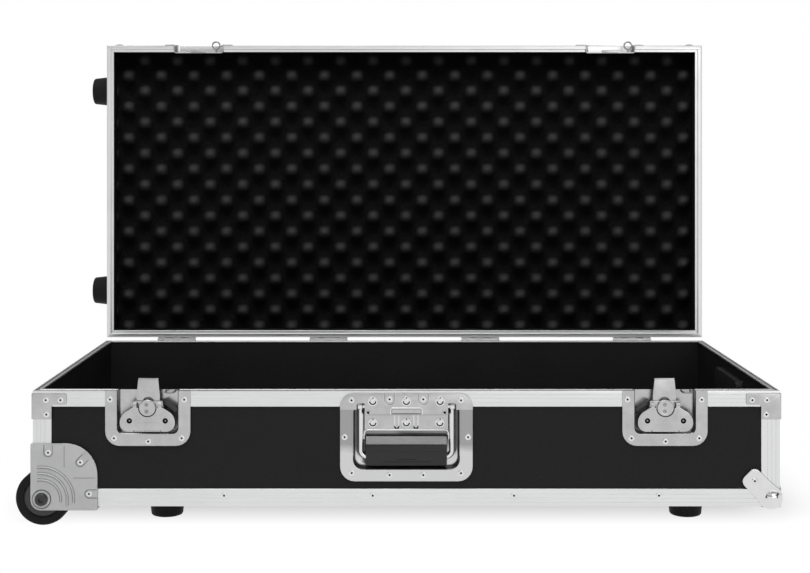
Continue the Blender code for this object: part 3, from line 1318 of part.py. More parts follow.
# Finishes as linear colour, roughness and metallic.
LAMINATE = ((0.017, 0.017, 0.018), 0.55, 0)
ALUMINIUM = ((0.72, 0.72, 0.73), 0.35, 1)
PLATED = ((0.62, 0.62, 0.63), 0.28, 1)
CHROME = ((0.75, 0.75, 0.76), 0.12, 1)
CASTING = ((0.42, 0.42, 0.43), 0.5, 1)
RUBBER = ((0.012, 0.012, 0.012), 0.7, 0)
BLACK_STEEL = ((0.02, 0.02, 0.02), 0.35, 1)
FOAM = ((0.01, 0.01, 0.01), 0.95, 0)


def build_base(builder, case):
    for name, mesh in base_panels().items():
        builder.part(name, mesh, LAMINATE, case)
    for name, mesh in base_extrusions().items():
        builder.part(name, mesh, ALUMINIUM, case)
    for index in (0, 1):
        brace = placed(riveted_brace(RIVET_ROOT), corner_frame(index, RIM_Z))
        builder.part(f"corner_brace_{CORNER_NAMES[index]}", brace, PLATED, case)
    for index in (1, 2):
        corner = placed(ball_corner(), corner_frame(index, GROUND_CLEARANCE))
        builder.part(f"base_ball_corner_{CORNER_NAMES[index]}", corner, CHROME, case)
    for name, mesh in base_feet().items():
        builder.part(name, mesh, RUBBER, case)
    for number, x in enumerate(HINGE_XS, 1):
        builder.part(f"hinge_{number}_base_leaf", hinge_leaf(x, 0), PLATED, case)


def build_wheels(builder, case):
    for place, frame in wheel_corner_frames().items():
        builder.part(f"wheel_bracket_{place}", placed(wheel_bracket(), frame), CASTING, case)
        builder.part(f"wheel_axle_bolt_{place}", placed(axle_bolt(), frame), BLACK_STEEL, case)
        axle = frame @ Vector((WHEEL_SIDE_INSET, WHEEL_CENTRE_Y, WHEEL_AXLE_RISE))
        spin = builder.frame(f"wheel_{place}_axis", case, axle)
        builder.part(f"wheel_{place}", wheel(), RUBBER, spin)


def build_latches(builder, case):
    for side, x in LATCH_XS.items():
        frame = latch_frame(side)
        mirror = 1 if side == "left" else -1
        builder.part(f"latch_dish_{side}", placed(latch_dish(mirror), frame), PLATED, case)
        builder.part(f"latch_hook_{side}", placed(latch_hook(), frame), PLATED, case, (x, HOOK_FACE_DEPTH, RIM_Z))
        turn = builder.frame(f"latch_drive_{side}_axis", case, (x, 0, RIM_Z - LATCH_BOSS_DROP))
        builder.part(f"latch_drive_{side}", latch_drive(), CHROME, turn)
        flip = builder.frame(f"latch_wing_{side}_axis", turn, (0, -WING_AXIS_PROUD, WING_AXIS_RISE))
        builder.part(f"latch_wing_{side}", latch_wing(), PLATED, flip)


def build_handles(builder, case):
    turns = ((0, 0, 0), (0, 0, QUARTER))
    joined_root = BACKPLATE_THICKNESS + FIT_GAP + HANDLE_FLANGE / 2
    front, side = handle_frames()
    builder.part("handle_front_dish", placed(handle_dish(), front), CHROME, case)
    builder.part("handle_front_backplate", placed(handle_backplate(RIVET_ROOT), front), PLATED, case)
    riveted = union(handle_dish(), handle_backplate(joined_root))
    builder.part("handle_side_dish", placed(riveted, side), CHROME, case)
    for name, frame, turn in zip(("front", "side"), (front, side), turns):
        pivot = frame @ Vector((0, BAIL_AXIS_DEPTH, -BAIL_AXIS_DROP))
        swing = builder.frame(f"handle_{name}_axis", case, pivot, turn)
        builder.part(f"handle_{name}_bail", bail_rod(), CHROME, swing)
        builder.part(f"handle_{name}_grip", bail_grip(), RUBBER, swing)


def build_lid(builder, case):
    hinge = builder.frame("lid_hinge_axis", case, (0, HINGE_Y, RIM_Z), (-LID_OPEN_ANGLE, 0, 0))
    pieces = [(name, mesh, LAMINATE) for name, mesh in lid_panels().items()]
    pieces += [(name, mesh, ALUMINIUM) for name, mesh in lid_extrusions().items()]
    for index, name in enumerate(CORNER_NAMES):
        corner = placed(ball_corner(), corner_frame(index, LID_TOP_Z) @ UPSIDE_DOWN)
        pieces.append((f"lid_ball_corner_{name}", corner, CHROME))
    pieces += [(name, mesh, RUBBER) for name, mesh in lid_feet().items()]
    pieces.append(("lid_foam", egg_crate_foam(), FOAM))
    pieces += [(f"hinge_{number}_lid_leaf", hinge_leaf(x, 1), PLATED) for number, x in enumerate(HINGE_XS, 1)]
    pieces += [(f"latch_keeper_{side}", placed(keeper(), latch_frame(side)), PLATED) for side in LATCH_XS]
    closed_to_hinge = Matrix.Translation((0, -HINGE_Y, -RIM_Z))
    for name, mesh, finish in pieces:
        builder.part(name, placed(mesh, closed_to_hinge), finish, hinge)


def case_offset():
    """Shift that puts the middle of the open case's outline over the origin."""
    ball_proud = BALL_RADIUS - BALL_INSET
    left = -HALF_WIDTH - GROUND_CLEARANCE
    right = HALF_WIDTH + ball_proud
    front = -(FIT_GAP + BRACKET_PLATE + FIT_GAP + AXLE_HEAD_HEIGHT)
    back = HINGE_Y + LID_SEAT_GAP + LID_HEIGHT + ball_proud
    return (-(left + right) / 2, -(front + back) / 2, 0)


def main():
    clear_scene()
    builder = Builder("guitar_pedal_case")
    case = builder.frame("case", None, case_offset())
    build_base(builder, case)
    build_wheels(builder, case)
    build_latches(builder, case)
    build_handles(builder, case)
    build_lid(builder, case)


if __name__ == "__main__":
    main()
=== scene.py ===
# %% [markdown]
# # A guitar pedal case, dressed for its photograph
# This lesson takes the plain CAD model of a flight case and gives it the look of the real one:
# pressed steel fittings, extruded aluminium edges, black laminate and egg-crate foam. The CAD model
# is the fixed frame. Every new piece sits where its CAD solid sits and moves with it.

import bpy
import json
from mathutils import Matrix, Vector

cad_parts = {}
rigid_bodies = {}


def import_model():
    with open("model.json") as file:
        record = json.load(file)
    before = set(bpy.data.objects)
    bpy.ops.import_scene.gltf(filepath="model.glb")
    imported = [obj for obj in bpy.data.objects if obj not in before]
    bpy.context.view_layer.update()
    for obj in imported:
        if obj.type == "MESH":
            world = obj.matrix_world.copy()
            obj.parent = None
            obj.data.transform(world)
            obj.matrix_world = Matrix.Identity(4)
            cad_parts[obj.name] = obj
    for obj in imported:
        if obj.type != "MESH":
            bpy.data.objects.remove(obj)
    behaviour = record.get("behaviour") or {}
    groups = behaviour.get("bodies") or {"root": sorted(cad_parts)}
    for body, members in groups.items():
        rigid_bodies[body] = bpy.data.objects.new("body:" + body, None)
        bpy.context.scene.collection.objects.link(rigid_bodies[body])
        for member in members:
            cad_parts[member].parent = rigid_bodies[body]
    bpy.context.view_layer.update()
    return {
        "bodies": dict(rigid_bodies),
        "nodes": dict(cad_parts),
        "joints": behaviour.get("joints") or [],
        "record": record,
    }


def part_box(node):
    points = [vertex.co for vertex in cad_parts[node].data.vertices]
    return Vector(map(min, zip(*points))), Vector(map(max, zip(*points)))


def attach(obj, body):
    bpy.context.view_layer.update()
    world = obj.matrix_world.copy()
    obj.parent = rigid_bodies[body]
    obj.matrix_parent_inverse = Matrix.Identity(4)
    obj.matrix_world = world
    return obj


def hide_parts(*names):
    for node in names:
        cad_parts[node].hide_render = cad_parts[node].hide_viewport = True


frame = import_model()

# %% [markdown]
# ## Sizes and places
# All pieces are drawn in the case's own frame: x along the front, y into the case from the front
# face, z up from the ground. The few sizes that place the pieces are read from the CAD nodes, so the
# pieces follow the model. The lid is drawn closed, as it is made, and then turned open.

# %% Main sizes
import json
import math

import bmesh
import bpy
from mathutils import Matrix, Vector

MM = 0.001
QUARTER = math.pi / 2
TONGUE = 2.5 * MM
SEAT_GAP = 0.5 * MM
GAP = 0.3 * MM
HINGE_REACH = 4 * MM

panel_low, panel_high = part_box("base_front_panel")
rim_low, rim_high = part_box("base_rim_front")
lid_low, lid_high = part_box("lid_rim_frame")
HALF_WIDTH = (lid_high.x - lid_low.x) / 2
DEPTH = lid_high.z - lid_low.z
RIM_Z = rim_high.z - TONGUE
LID_RIM_Z = RIM_Z + SEAT_GAP
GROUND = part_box("base_lower_frame")[0].z
OFFSET = Vector(((panel_low.x + panel_high.x) / 2, rim_low.y, 0))
print("half width", HALF_WIDTH, "depth", DEPTH, "rim height", RIM_Z, "clearance", GROUND)

# %% Places of the case's parts
CASE = Matrix.Translation(OFFSET)
hinge = Vector((0, DEPTH + HINGE_REACH, RIM_Z))
LID = CASE @ Matrix.Translation(hinge) @ Matrix.Rotation(-QUARTER, 4, "X") @ Matrix.Translation(-hinge)
LID_TOP_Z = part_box("lid_top_panel")[1].y - OFFSET.y - hinge.y + RIM_Z + 1.5 * MM
print("lid top, closed", LID_TOP_Z)


def corner_place(index, z):
    """Place of an upright corner, x and y running into the case: front left, front right, back right, back left."""
    x = -HALF_WIDTH if index in (0, 3) else HALF_WIDTH
    y = 0 if index in (0, 1) else DEPTH
    return Matrix.Translation((x, y, z)) @ Matrix.Rotation(QUARTER * index, 4, "Z")


def side_place(index, z):
    """Place at the middle of a side: front, right, back, left; its y runs into the case."""
    x, y = ((0, 0), (HALF_WIDTH, DEPTH / 2), (0, DEPTH), (-HALF_WIDTH, DEPTH / 2))[index]
    return Matrix.Translation((x, y, z)) @ Matrix.Rotation(QUARTER * index, 4, "Z")


# %% [markdown]
# ## Camera
# The photograph looks level along the case's depth, from a little above the open base. A level
# camera keeps upright edges upright, so its height and a lens shift frame the case, as with a view
# camera.

# %% Camera
camera_data = bpy.data.cameras.new("photo_camera")
camera_data.lens = 64.4
camera_data.sensor_width = 36
camera_data.shift_x = 0.010
camera_data.shift_y = -0.178
camera = bpy.data.objects.new("photo_camera", camera_data)
camera.location = (-0.00225, -1.926, 0.4454)
camera.rotation_euler = (QUARTER, 0, 0)
bpy.context.scene.collection.objects.link(camera)
bpy.context.scene.camera = camera
bpy.context.scene.view_settings.view_transform = "Standard"
print("camera at", list(camera.location))

# %% [markdown]
# ## Studio
# Polished metal shows the room. A world that is white at the horizon and greyer overhead gives the
# fittings soft dark and light bands, as a white studio with a dark ceiling does. Diffuse light is
# kept lower, so that colours render as they are written. Two large lamps give soft shadows.


# %% Shader node helper
def shader_node(tree, kind, inputs=None, **settings):
    """Adds a node; each input is a value or a socket to link from."""
    item = tree.nodes.new(kind)
    for key, value in settings.items():
        setattr(item, key, value)
    for key, value in (inputs or {}).items():
        if isinstance(value, bpy.types.NodeSocket):
            tree.links.new(value, item.inputs[key])
        else:
            item.inputs[key].default_value = value
    return item


def shown_directly(tree):
    """One for camera, glossy and transmission rays, nought for diffuse light."""
    path = shader_node(tree, "ShaderNodeLightPath")
    first = shader_node(tree, "ShaderNodeMath", {0: path.outputs["Is Camera Ray"], 1: path.outputs["Is Glossy Ray"]},
                        operation="MAXIMUM")
    return shader_node(tree, "ShaderNodeMath", {0: first.outputs[0], 1: path.outputs["Is Transmission Ray"]},
                       operation="MAXIMUM").outputs[0]


# %% World
def set_stops(ramp, stops):
    """Gives a colour ramp its grey levels by place."""
    elements = ramp.color_ramp.elements
    while len(elements) < len(stops):
        elements.new(1)
    for element, (place, level) in zip(elements, stops):
        element.position = place
        element.color = (level, level, level, 1)


AMBIENT = 0.25
world = bpy.data.worlds.new("studio")
bpy.context.scene.world = world
world.use_nodes = True
tree = world.node_tree
tree.nodes.clear()
direction = shader_node(tree, "ShaderNodeTexCoord")
split = shader_node(tree, "ShaderNodeSeparateXYZ", {0: direction.outputs["Generated"]})
sky = shader_node(tree, "ShaderNodeValToRGB", {0: split.outputs["Z"]})
set_stops(sky, ((0.30, 1.0), (0.35, 0.1), (0.45, 0.1), (0.50, 0.95), (0.80, 0.42)))
sideways = shader_node(tree, "ShaderNodeMath", {0: split.outputs["X"]}, operation="ABSOLUTE")
flags = shader_node(tree, "ShaderNodeValToRGB", {0: sideways.outputs[0]})
set_stops(flags, ((0.70, 1.0), (0.74, 0.1), (0.84, 0.1), (0.88, 1.0)))
studio = shader_node(tree, "ShaderNodeMix", {0: 1.0, 6: sky.outputs[0], 7: flags.outputs[0]}, data_type="RGBA",
                     blend_type="MULTIPLY")
seen = shader_node(tree, "ShaderNodeBackground", {"Color": studio.outputs[2], "Strength": 1})
lit = shader_node(tree, "ShaderNodeBackground", {"Color": (1, 1, 1, 1), "Strength": AMBIENT})
mixed = shader_node(tree, "ShaderNodeMixShader", {0: shown_directly(tree), 1: lit.outputs[0], 2: seen.outputs[0]})
shader_node(tree, "ShaderNodeOutputWorld", {0: mixed.outputs[0]})


# %% Lamps
def soft_lamp(name, place, target, size, power, mirrored=True):
    """Large square lamp aimed at a point; metals need not mirror it."""
    data = bpy.data.lights.new(name, "AREA")
    data.size = size
    data.energy = power
    lamp = bpy.data.objects.new(name, data)
    lamp.location = place
    lamp.rotation_euler = (Vector(target) - Vector(place)).to_track_quat("-Z", "Y").to_euler()
    lamp.visible_glossy = mirrored
    bpy.context.scene.collection.objects.link(lamp)


CASE_MIDDLE = (0, 0, 0.2)
soft_lamp("overhead_lamp", (-0.35, -0.6, 2.6), CASE_MIDDLE, 1.8, 25)
soft_lamp("front_lamp", (1.2, -2.6, 1.3), CASE_MIDDLE, 1.6, 9)
soft_lamp("lid_lamp", (-0.1, -0.8, 1.55), (0, 0.1, 0.3), 0.7, 24, mirrored=False)

# %% Floor
FLOOR_SIZE = 30
# The floor's glow is lowest under the case's footprint and rises to full white within SHADOW_FADE of it. This paints
# shade under the case on top of its real shadow.
FLOOR_GLOW = 0.42
SHADOW_HALF, SHADOW_FADE = (0.41, 0.10), 0.14
floor_material = bpy.data.materials.new("studio_floor")
floor_material.use_nodes = True
tree = floor_material.node_tree
tree.nodes.clear()
paper = shader_node(tree, "ShaderNodeBsdfDiffuse", {"Color": (0.9, 0.9, 0.9, 1)})
glow = shader_node(tree, "ShaderNodeEmission", {"Color": (1, 1, 1, 1), "Strength": 1})
spot = shader_node(tree, "ShaderNodeTexCoord").outputs["Object"]
spread = shader_node(tree, "ShaderNodeVectorMath", {0: spot}, operation="ABSOLUTE").outputs[0]
past = shader_node(tree, "ShaderNodeVectorMath", {0: spread, 1: (*SHADOW_HALF, 0)}, operation="SUBTRACT").outputs[0]
past = shader_node(tree, "ShaderNodeVectorMath", {0: past, 1: (0, 0, 0)}, operation="MAXIMUM").outputs[0]
away = shader_node(tree, "ShaderNodeVectorMath", {0: past}, operation="LENGTH").outputs["Value"]
level = shader_node(tree, "ShaderNodeMapRange", {"Value": away, "From Min": 0, "From Max": SHADOW_FADE,
                                                 "To Min": FLOOR_GLOW, "To Max": 1.0})
share = shader_node(tree, "ShaderNodeMath", {0: shown_directly(tree), 1: level.outputs[0]}, operation="MULTIPLY")
mixed = shader_node(tree, "ShaderNodeMixShader", {0: share.outputs[0], 1: paper.outputs[0], 2: glow.outputs[0]})
shader_node(tree, "ShaderNodeOutputMaterial", {0: mixed.outputs[0]})
floor_mesh = bpy.data.meshes.new("studio_floor")
bm = bmesh.new()
bmesh.ops.create_grid(bm, x_segments=1, y_segments=1, size=FLOOR_SIZE / 2)
bm.to_mesh(floor_mesh)
bm.free()
floor_mesh.materials.append(floor_material)
floor = bpy.data.objects.new("studio_floor", floor_mesh)
bpy.context.scene.collection.objects.link(floor)

# %% [markdown]
# ## Finishes
# Each finish is one Principled shader, with its colour, roughness and bump changed over the surface
# by shared node groups. Cloudy wear breaks up even areas. Lines that run along an extrusion come
# from noise stretched along the piece's own map, because the lines turn with every edge. A fine
# pebbled grain is what hot rollers press into laminate and moulding tools leave on rubber.


# %% Group for cloudy wear
def new_group(name, inputs):
    """Starts a shader group with number inputs and their defaults, and gives its ends."""
    group = bpy.data.node_groups.new(name, "ShaderNodeTree")
    group.interface.new_socket("Vector", in_out="INPUT", socket_type="NodeSocketVector")
    for label, default in inputs.items():
        socket = group.interface.new_socket(label, in_out="INPUT", socket_type="NodeSocketFloat")
        socket.default_value = default
    group.interface.new_socket("Value", in_out="OUTPUT", socket_type="NodeSocketFloat")
    return group, group.nodes.new("NodeGroupInput").outputs, group.nodes.new("NodeGroupOutput").inputs


def noise(tree, vector, scale, detail=2.0, roughness=0.5):
    """Noise texture whose value comes out first."""
    return shader_node(tree, "ShaderNodeTexNoise", {"Vector": vector, "Scale": scale, "Detail": detail,
                                                    "Roughness": roughness}).outputs[0]


def ranged(tree, value, low, high, to_low=0.0, to_high=1.0):
    """Stretches a value from one range to another."""
    return shader_node(tree, "ShaderNodeMapRange", {"Value": value, "From Min": low, "From Max": high,
                                                    "To Min": to_low, "To Max": to_high}).outputs[0]


cloud_group, ends, value_out = new_group("cloudy_wear", {"Scale": 30.0})
large = noise(cloud_group, ends["Vector"], ends["Scale"], 4.0, 0.6)
cloud_group.links.new(ranged(cloud_group, large, 0.3, 0.7), value_out["Value"])

# %% Group for lines along a piece
line_group, ends, value_out = new_group("drawn_lines", {"Lines per metre": 900.0, "Stretch": 0.02})
stretch = shader_node(line_group, "ShaderNodeCombineXYZ", {"X": ends["Stretch"], "Y": 1.0, "Z": 1.0})
drawn = shader_node(line_group, "ShaderNodeVectorMath", {0: ends["Vector"], 1: stretch.outputs[0]},
                    operation="MULTIPLY")
streak = noise(line_group, drawn.outputs[0], ends["Lines per metre"], 3.0, 0.7)
line_group.links.new(ranged(line_group, streak, 0.25, 0.75), value_out["Value"])

# %% Group for pebbled grain
grain_group, ends, value_out = new_group("pebbled_grain", {"Scale": 900.0})
pebble = shader_node(grain_group, "ShaderNodeTexVoronoi", {"Vector": ends["Vector"], "Scale": ends["Scale"]},
                     feature="SMOOTH_F1").outputs["Distance"]
grain_group.links.new(ranged(grain_group, pebble, 0.1, 0.7), value_out["Value"])


# %% Making a finish
def use_group(tree, group, vector, **inputs):
    """Places a shared group in a material with the material's own values."""
    item = shader_node(tree, "ShaderNodeGroup", node_tree=group)
    tree.links.new(vector, item.inputs["Vector"])
    for label, value in inputs.items():
        item.inputs[label.replace("_", " ")].default_value = value
    return item.outputs["Value"]


def grey_blend(tree, mask, dark, light):
    """Colour between two greys or tints by a mask."""
    mix = shader_node(tree, "ShaderNodeMix", {0: mask}, data_type="RGBA")
    mix.inputs[6].default_value = (*dark, 1)
    mix.inputs[7].default_value = (*light, 1)
    return mix.outputs[2]


def new_finish(name, **sockets):
    """Starts a Principled material with its even values set on the shader itself."""
    material = bpy.data.materials.new(name)
    material.use_nodes = True
    shader = material.node_tree.nodes["Principled BSDF"]
    for label, value in sockets.items():
        shader.inputs[label.replace("_", " ")].default_value = value
    return material, material.node_tree, shader


def finish_surface(tree, shader, colour, roughness, height, distance):
    """Feeds the changing colour, roughness and bump of a finish."""
    tree.links.new(colour, shader.inputs["Base Color"])
    tree.links.new(roughness, shader.inputs["Roughness"])
    bump = shader_node(tree, "ShaderNodeBump", {"Height": height, "Strength": 1.0, "Distance": distance})
    tree.links.new(bump.outputs[0], shader.inputs["Normal"])


def object_place(tree):
    return shader_node(tree, "ShaderNodeTexCoord").outputs["Object"]


def added(tree, first, second, share):
    """First value plus a share of the second."""
    part = shader_node(tree, "ShaderNodeMath", {0: second, 1: share, 2: first}, operation="MULTIPLY_ADD")
    return part.outputs[0]


# %% [markdown]
# ### Laminate
# The panels are birch plywood with a black resin film. The film has a fine pebbled grain and a
# satin shine that is a little uneven. A low specular level keeps the film from greying under the
# white studio.

# %% Laminate
laminate, tree, shader = new_finish("black_laminate", Specular_IOR_Level=0.17)
place = object_place(tree)
grain = use_group(tree, grain_group, place, Scale=620.0)
cloud = use_group(tree, cloud_group, place, Scale=14.0)
colour = grey_blend(tree, added(tree, ranged(tree, grain, 0, 1, 0, 0.7), cloud, 0.3), (0.0042, 0.0042, 0.0043),
                    (0.0088, 0.0088, 0.009))
finish_surface(tree, shader, colour, ranged(tree, cloud, 0, 1, 0.42, 0.55), grain, 0.12 * MM)

# %% [markdown]
# ### Drawn aluminium
# The edges are extruded, so faint lines run along them, with a mill finish between bright and
# satin. The lines read the piece's own map, whose first coordinate runs along the bar.

# %% Drawn aluminium
edging, tree, shader = new_finish("drawn_aluminium", Metallic=1.0)
along = shader_node(tree, "ShaderNodeUVMap", uv_map="run").outputs[0]
lines = use_group(tree, line_group, along, Lines_per_metre=1100.0, Stretch=0.012)
broad = use_group(tree, line_group, along, Lines_per_metre=260.0, Stretch=0.02)
cloud = use_group(tree, cloud_group, object_place(tree), Scale=22.0)
mask = added(tree, ranged(tree, lines, 0, 1, 0, 0.55), broad, 0.45)
colour = grey_blend(tree, mask, (0.68, 0.683, 0.687), (0.80, 0.803, 0.807))
finish_surface(tree, shader, colour, ranged(tree, added(tree, cloud, lines, 0.5), 0, 1.5, 0.3, 0.46), lines,
               0.02 * MM)

# %% [markdown]
# ### Pressed steel, bright and polished
# The fittings are pressed from sheet and zinc plated: a light grey, slightly cloudy metal with fine
# scratches. The handle dishes and ball corners are nickel plated, brighter and smoother. One maker
# gives both with other values.


# %% Plated finishes
def plated_finish(name, dark, light, smooth, rough, scratch):
    """Plated sheet metal between two greys and two roughnesses."""
    material, tree, shader = new_finish(name, Metallic=1.0)
    place = object_place(tree)
    cloud = use_group(tree, cloud_group, place, Scale=60.0)
    fine = use_group(tree, grain_group, place, Scale=1500.0)
    colour = grey_blend(tree, added(tree, ranged(tree, cloud, 0, 1, 0, 0.75), fine, 0.25), dark, light)
    finish_surface(tree, shader, colour, ranged(tree, cloud, 0, 1, smooth, rough), fine, scratch)
    return material


plated = plated_finish("plated_steel", (0.43, 0.43, 0.435), (0.57, 0.57, 0.575), 0.24, 0.36, 0.012 * MM)
chrome = plated_finish("bright_nickel", (0.66, 0.66, 0.665), (0.76, 0.76, 0.765), 0.10, 0.17, 0.004 * MM)
# Rivet heads are this brighter steel. The same finish on pressed lines and rolled lips is a painted highlight.
bright_rivet_and_highlight = plated_finish("rivet_steel_and_painted_highlight", (0.68, 0.68, 0.685), (0.80, 0.80, 0.805), 0.26, 0.34, 0.004 * MM)
# This darker zinc is the padlock eyes' own metal. On cup walls, rim tops, knob dimples and beside pressed lines it is
# painted shade.
grey_zinc_and_shade = plated_finish("zinc_and_painted_shade", (0.26, 0.26, 0.265), (0.36, 0.36, 0.365), 0.34, 0.46, 0.012 * MM)

# %% [markdown]
# ### Grey casting, rubber, black steel and shadow
# The wheel brackets are powder-coated castings, so they are dull with a fine orange-peel surface.
# Feet, wheels and grips are black rubber. The axle bolts are blackened steel. A near-black finish
# paints the shade in a blind rivet's pinhole and in gaps, slits and holes. A darker grey paints
# shade in the castings' grooves and beside their ribs.


# %% Dull finishes
def dull_finish(name, dark, light, smooth, rough, scale, height, **sockets):
    """Dull surface with a grain of its own size."""
    material, tree, shader = new_finish(name, **sockets)
    place = object_place(tree)
    grain = use_group(tree, grain_group, place, Scale=scale)
    cloud = use_group(tree, cloud_group, place, Scale=45.0)
    colour = grey_blend(tree, added(tree, ranged(tree, cloud, 0, 1, 0, 0.6), grain, 0.4), dark, light)
    finish_surface(tree, shader, colour, ranged(tree, cloud, 0, 1, smooth, rough), grain, height)
    return material


casting = dull_finish("grey_casting", (0.37, 0.37, 0.375), (0.45, 0.45, 0.455), 0.42, 0.55, 1300.0, 0.03 * MM,
                      Metallic=0.35)
rubber = dull_finish("black_rubber", (0.004, 0.004, 0.004), (0.008, 0.008, 0.008), 0.5, 0.65, 1100.0,
                     0.05 * MM, Specular_IOR_Level=0.14)
black_steel = dull_finish("blackened_steel", (0.008, 0.008, 0.008), (0.016, 0.016, 0.016), 0.3, 0.42, 1500.0,
                          0.01 * MM, Specular_IOR_Level=0.6)
seam_shade = dull_finish("casting_painted_shade", (0.10, 0.10, 0.10), (0.14, 0.14, 0.14), 0.6, 0.7, 1300.0, 0.01 * MM,
                         Metallic=0.2)
shadow_hole = dull_finish("painted_shadow", (0.003, 0.003, 0.003), (0.006, 0.006, 0.006), 0.8, 0.9, 1500.0,
                          0.01 * MM, Specular_IOR_Level=0.05)

# %% [markdown]
# ### Foam
# Open-cell foam is a tangle of thin black struts. It is almost without shine, and its cut face is
# rough at the scale of a millimetre, which the grain group gives at a larger size. Its colour is
# painted darker towards the back, which paints shade into the hollows and light onto the peaks.

# %% Foam finish
foam_finish, tree, shader = new_finish("open_cell_foam", Specular_IOR_Level=0.03, Sheen_Weight=0.02)
place = object_place(tree)
cells = use_group(tree, grain_group, place, Scale=520.0)
depth = shader_node(tree, "ShaderNodeSeparateXYZ", {"Vector": place}).outputs["Y"]
foam_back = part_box("lid_foam")[1][1]
# Mask from the back of the foam to its peaks: painted shade in the hollows, painted light on the peaks.
painted_depth_shade = ranged(tree, depth, foam_back - 20 * MM, foam_back - 29 * MM)
colour = grey_blend(tree, added(tree, ranged(tree, painted_depth_shade, 0, 1, 0, 0.85), cells, 0.12), (0.0005, 0.0005, 0.0005),
                    (0.036, 0.036, 0.036))
finish_surface(tree, shader, colour, ranged(tree, cells, 0, 1, 0.85, 0.98), cells, 0.5 * MM)
print("finishes", [material.name for material in bpy.data.materials if material.use_nodes][-12:])

# %% [markdown]
# ## Sheet, plate and turned shapes
# Almost every fitting is pressed sheet or turned metal, so a few shape makers do most of the work.
# An outline is one flat face whose corners a vertex bevel rounds. A plate extrudes it. A pressing
# skins several outlines of the same number of corners, as a press tool draws a sheet over a step.
# Turned parts spin a profile. Spinning and mirroring can turn a shape inside out, so each piece has
# its normals recalculated at the end.

# %% Outlines and plates
WELD = 0.004 * MM


def outline(corners, steps=6):
    """Flat face in the x-z plane; each corner is (x, z, radius)."""
    bm = bmesh.new()
    points = [bm.verts.new((x, 0, z)) for x, z, _ in corners]
    bm.faces.new(points)
    for radius in sorted({corner[2] for corner in corners if corner[2] > 0}):
        group = [point for point, corner in zip(points, corners) if corner[2] == radius]
        bmesh.ops.bevel(bm, geom=group, offset=radius, segments=steps, profile=0.5, affect="VERTICES", material=-1)
    return bm


def soften_rim(bm, y, size, segments=2):
    """Rounds the edges of the face that lies at one depth."""
    def level(point):
        return abs(point.co.y - y) < WELD

    rim = [
        edge for edge in bm.edges
        if all(map(level, edge.verts)) and any(not all(map(level, face.verts)) for face in edge.link_faces)
    ]
    bmesh.ops.bevel(bm, geom=rim, offset=size, segments=segments, profile=0.5, affect="EDGES", material=-1)


def plate(corners, back, front, soften=0.0, steps=6):
    """Sheet that stands from one height to another in front of a face, its front rim softened."""
    bm = outline(corners, steps)
    bmesh.ops.translate(bm, verts=bm.verts, vec=(0, -back, 0))
    made = bmesh.ops.extrude_face_region(bm, geom=bm.faces[:])["geom"]
    raised = [item for item in made if isinstance(item, bmesh.types.BMVert)]
    bmesh.ops.translate(bm, verts=raised, vec=(0, back - front, 0))
    if soften:
        soften_rim(bm, -front, soften)
    return bm


def join(bm, other, place=None):
    """Adds another shape to a mesh, at a place, and frees it."""
    mesh = bpy.data.meshes.new("part")
    other.to_mesh(mesh)
    other.free()
    if place is not None:
        mesh.transform(place)
    bm.from_mesh(mesh)
    bpy.data.meshes.remove(mesh)


def pressed(sections, steps=6, thickness=0.0, top=None):
    """Sheet drawn over a row of outlines, from its outer rim to its floor, and cut off above a height."""
    bm = bmesh.new()
    last, caps = [], []
    for corners, depth in sections:
        if caps:
            bmesh.ops.delete(bm, geom=caps, context="FACES_ONLY")
        edges, faces = set(bm.edges), set(bm.faces)
        join(bm, outline(corners, steps), Matrix.Translation((0, depth, 0)))
        ring = [edge for edge in bm.edges if edge not in edges]
        caps = [face for face in bm.faces if face not in faces]
        if last:
            bmesh.ops.bridge_loops(bm, edges=last + ring)
        last = ring
    if top is not None:
        whole = bm.verts[:] + bm.edges[:] + bm.faces[:]
        bmesh.ops.bisect_plane(bm, geom=whole, plane_co=(0, 0, top), plane_no=(0, 0, 1), clear_outer=True)
    bmesh.ops.recalc_face_normals(bm, faces=bm.faces)
    if sum(face.normal.y * face.calc_area() for face in bm.faces) > 0:
        bmesh.ops.reverse_faces(bm, faces=bm.faces)
    if thickness:
        bmesh.ops.solidify(bm, geom=bm.faces[:], thickness=thickness)
    return bm


def ring_corners(half, bottom, top, radius):
    """Corners of a rounded rectangle about x = 0."""
    return [(-half, bottom, radius), (half, bottom, radius), (half, top, radius), (-half, top, radius)]


# %% Turned parts, wires and cuts
FACE_ON = Matrix.Rotation(QUARTER, 4, "X")


def turned(profile, steps=32, material=None):
    """Spins a profile of (radius, height) about z; a material number per length may be given."""
    bm = bmesh.new()
    points = [bm.verts.new((radius, 0, height)) for radius, height in profile]
    edges = [bm.edges.new(pair) for pair in zip(points, points[1:])]
    before = set(bm.faces)
    bmesh.ops.spin(bm, geom=points + edges, cent=(0, 0, 0), axis=(0, 0, 1), dvec=(0, 0, 0), angle=math.tau,
                   steps=steps, use_merge=True, use_duplicate=False)
    bmesh.ops.remove_doubles(bm, verts=bm.verts, dist=WELD)
    if material:
        for face in bm.faces:
            face.material_index = material(face.calc_center_median())
    return bm


def wire(points, radius, cyclic=False, rounds=2):
    """Round wire along points, as a mesh."""
    curve = bpy.data.curves.new("wire", "CURVE")
    curve.dimensions = "3D"
    curve.bevel_depth = radius
    curve.bevel_resolution = rounds
    curve.use_fill_caps = True
    spline = curve.splines.new("POLY")
    spline.points.add(len(points) - 1)
    for point, place in zip(spline.points, points):
        point.co = (*place, 1)
    spline.use_cyclic_u = cyclic
    item = bpy.data.objects.new("wire", curve)
    mesh = bpy.data.meshes.new_from_object(item)
    bm = bmesh.new()
    bm.from_mesh(mesh)
    bpy.data.objects.remove(item)
    bpy.data.curves.remove(curve)
    bpy.data.meshes.remove(mesh)
    return bm


def arc_points(radius, start, end, steps):
    """Points on an arc in the x-z plane, between two angles in degrees."""
    angles = [math.radians(start + (end - start) * step / steps) for step in range(steps + 1)]
    return [(radius * math.cos(angle), 0, radius * math.sin(angle)) for angle in angles]


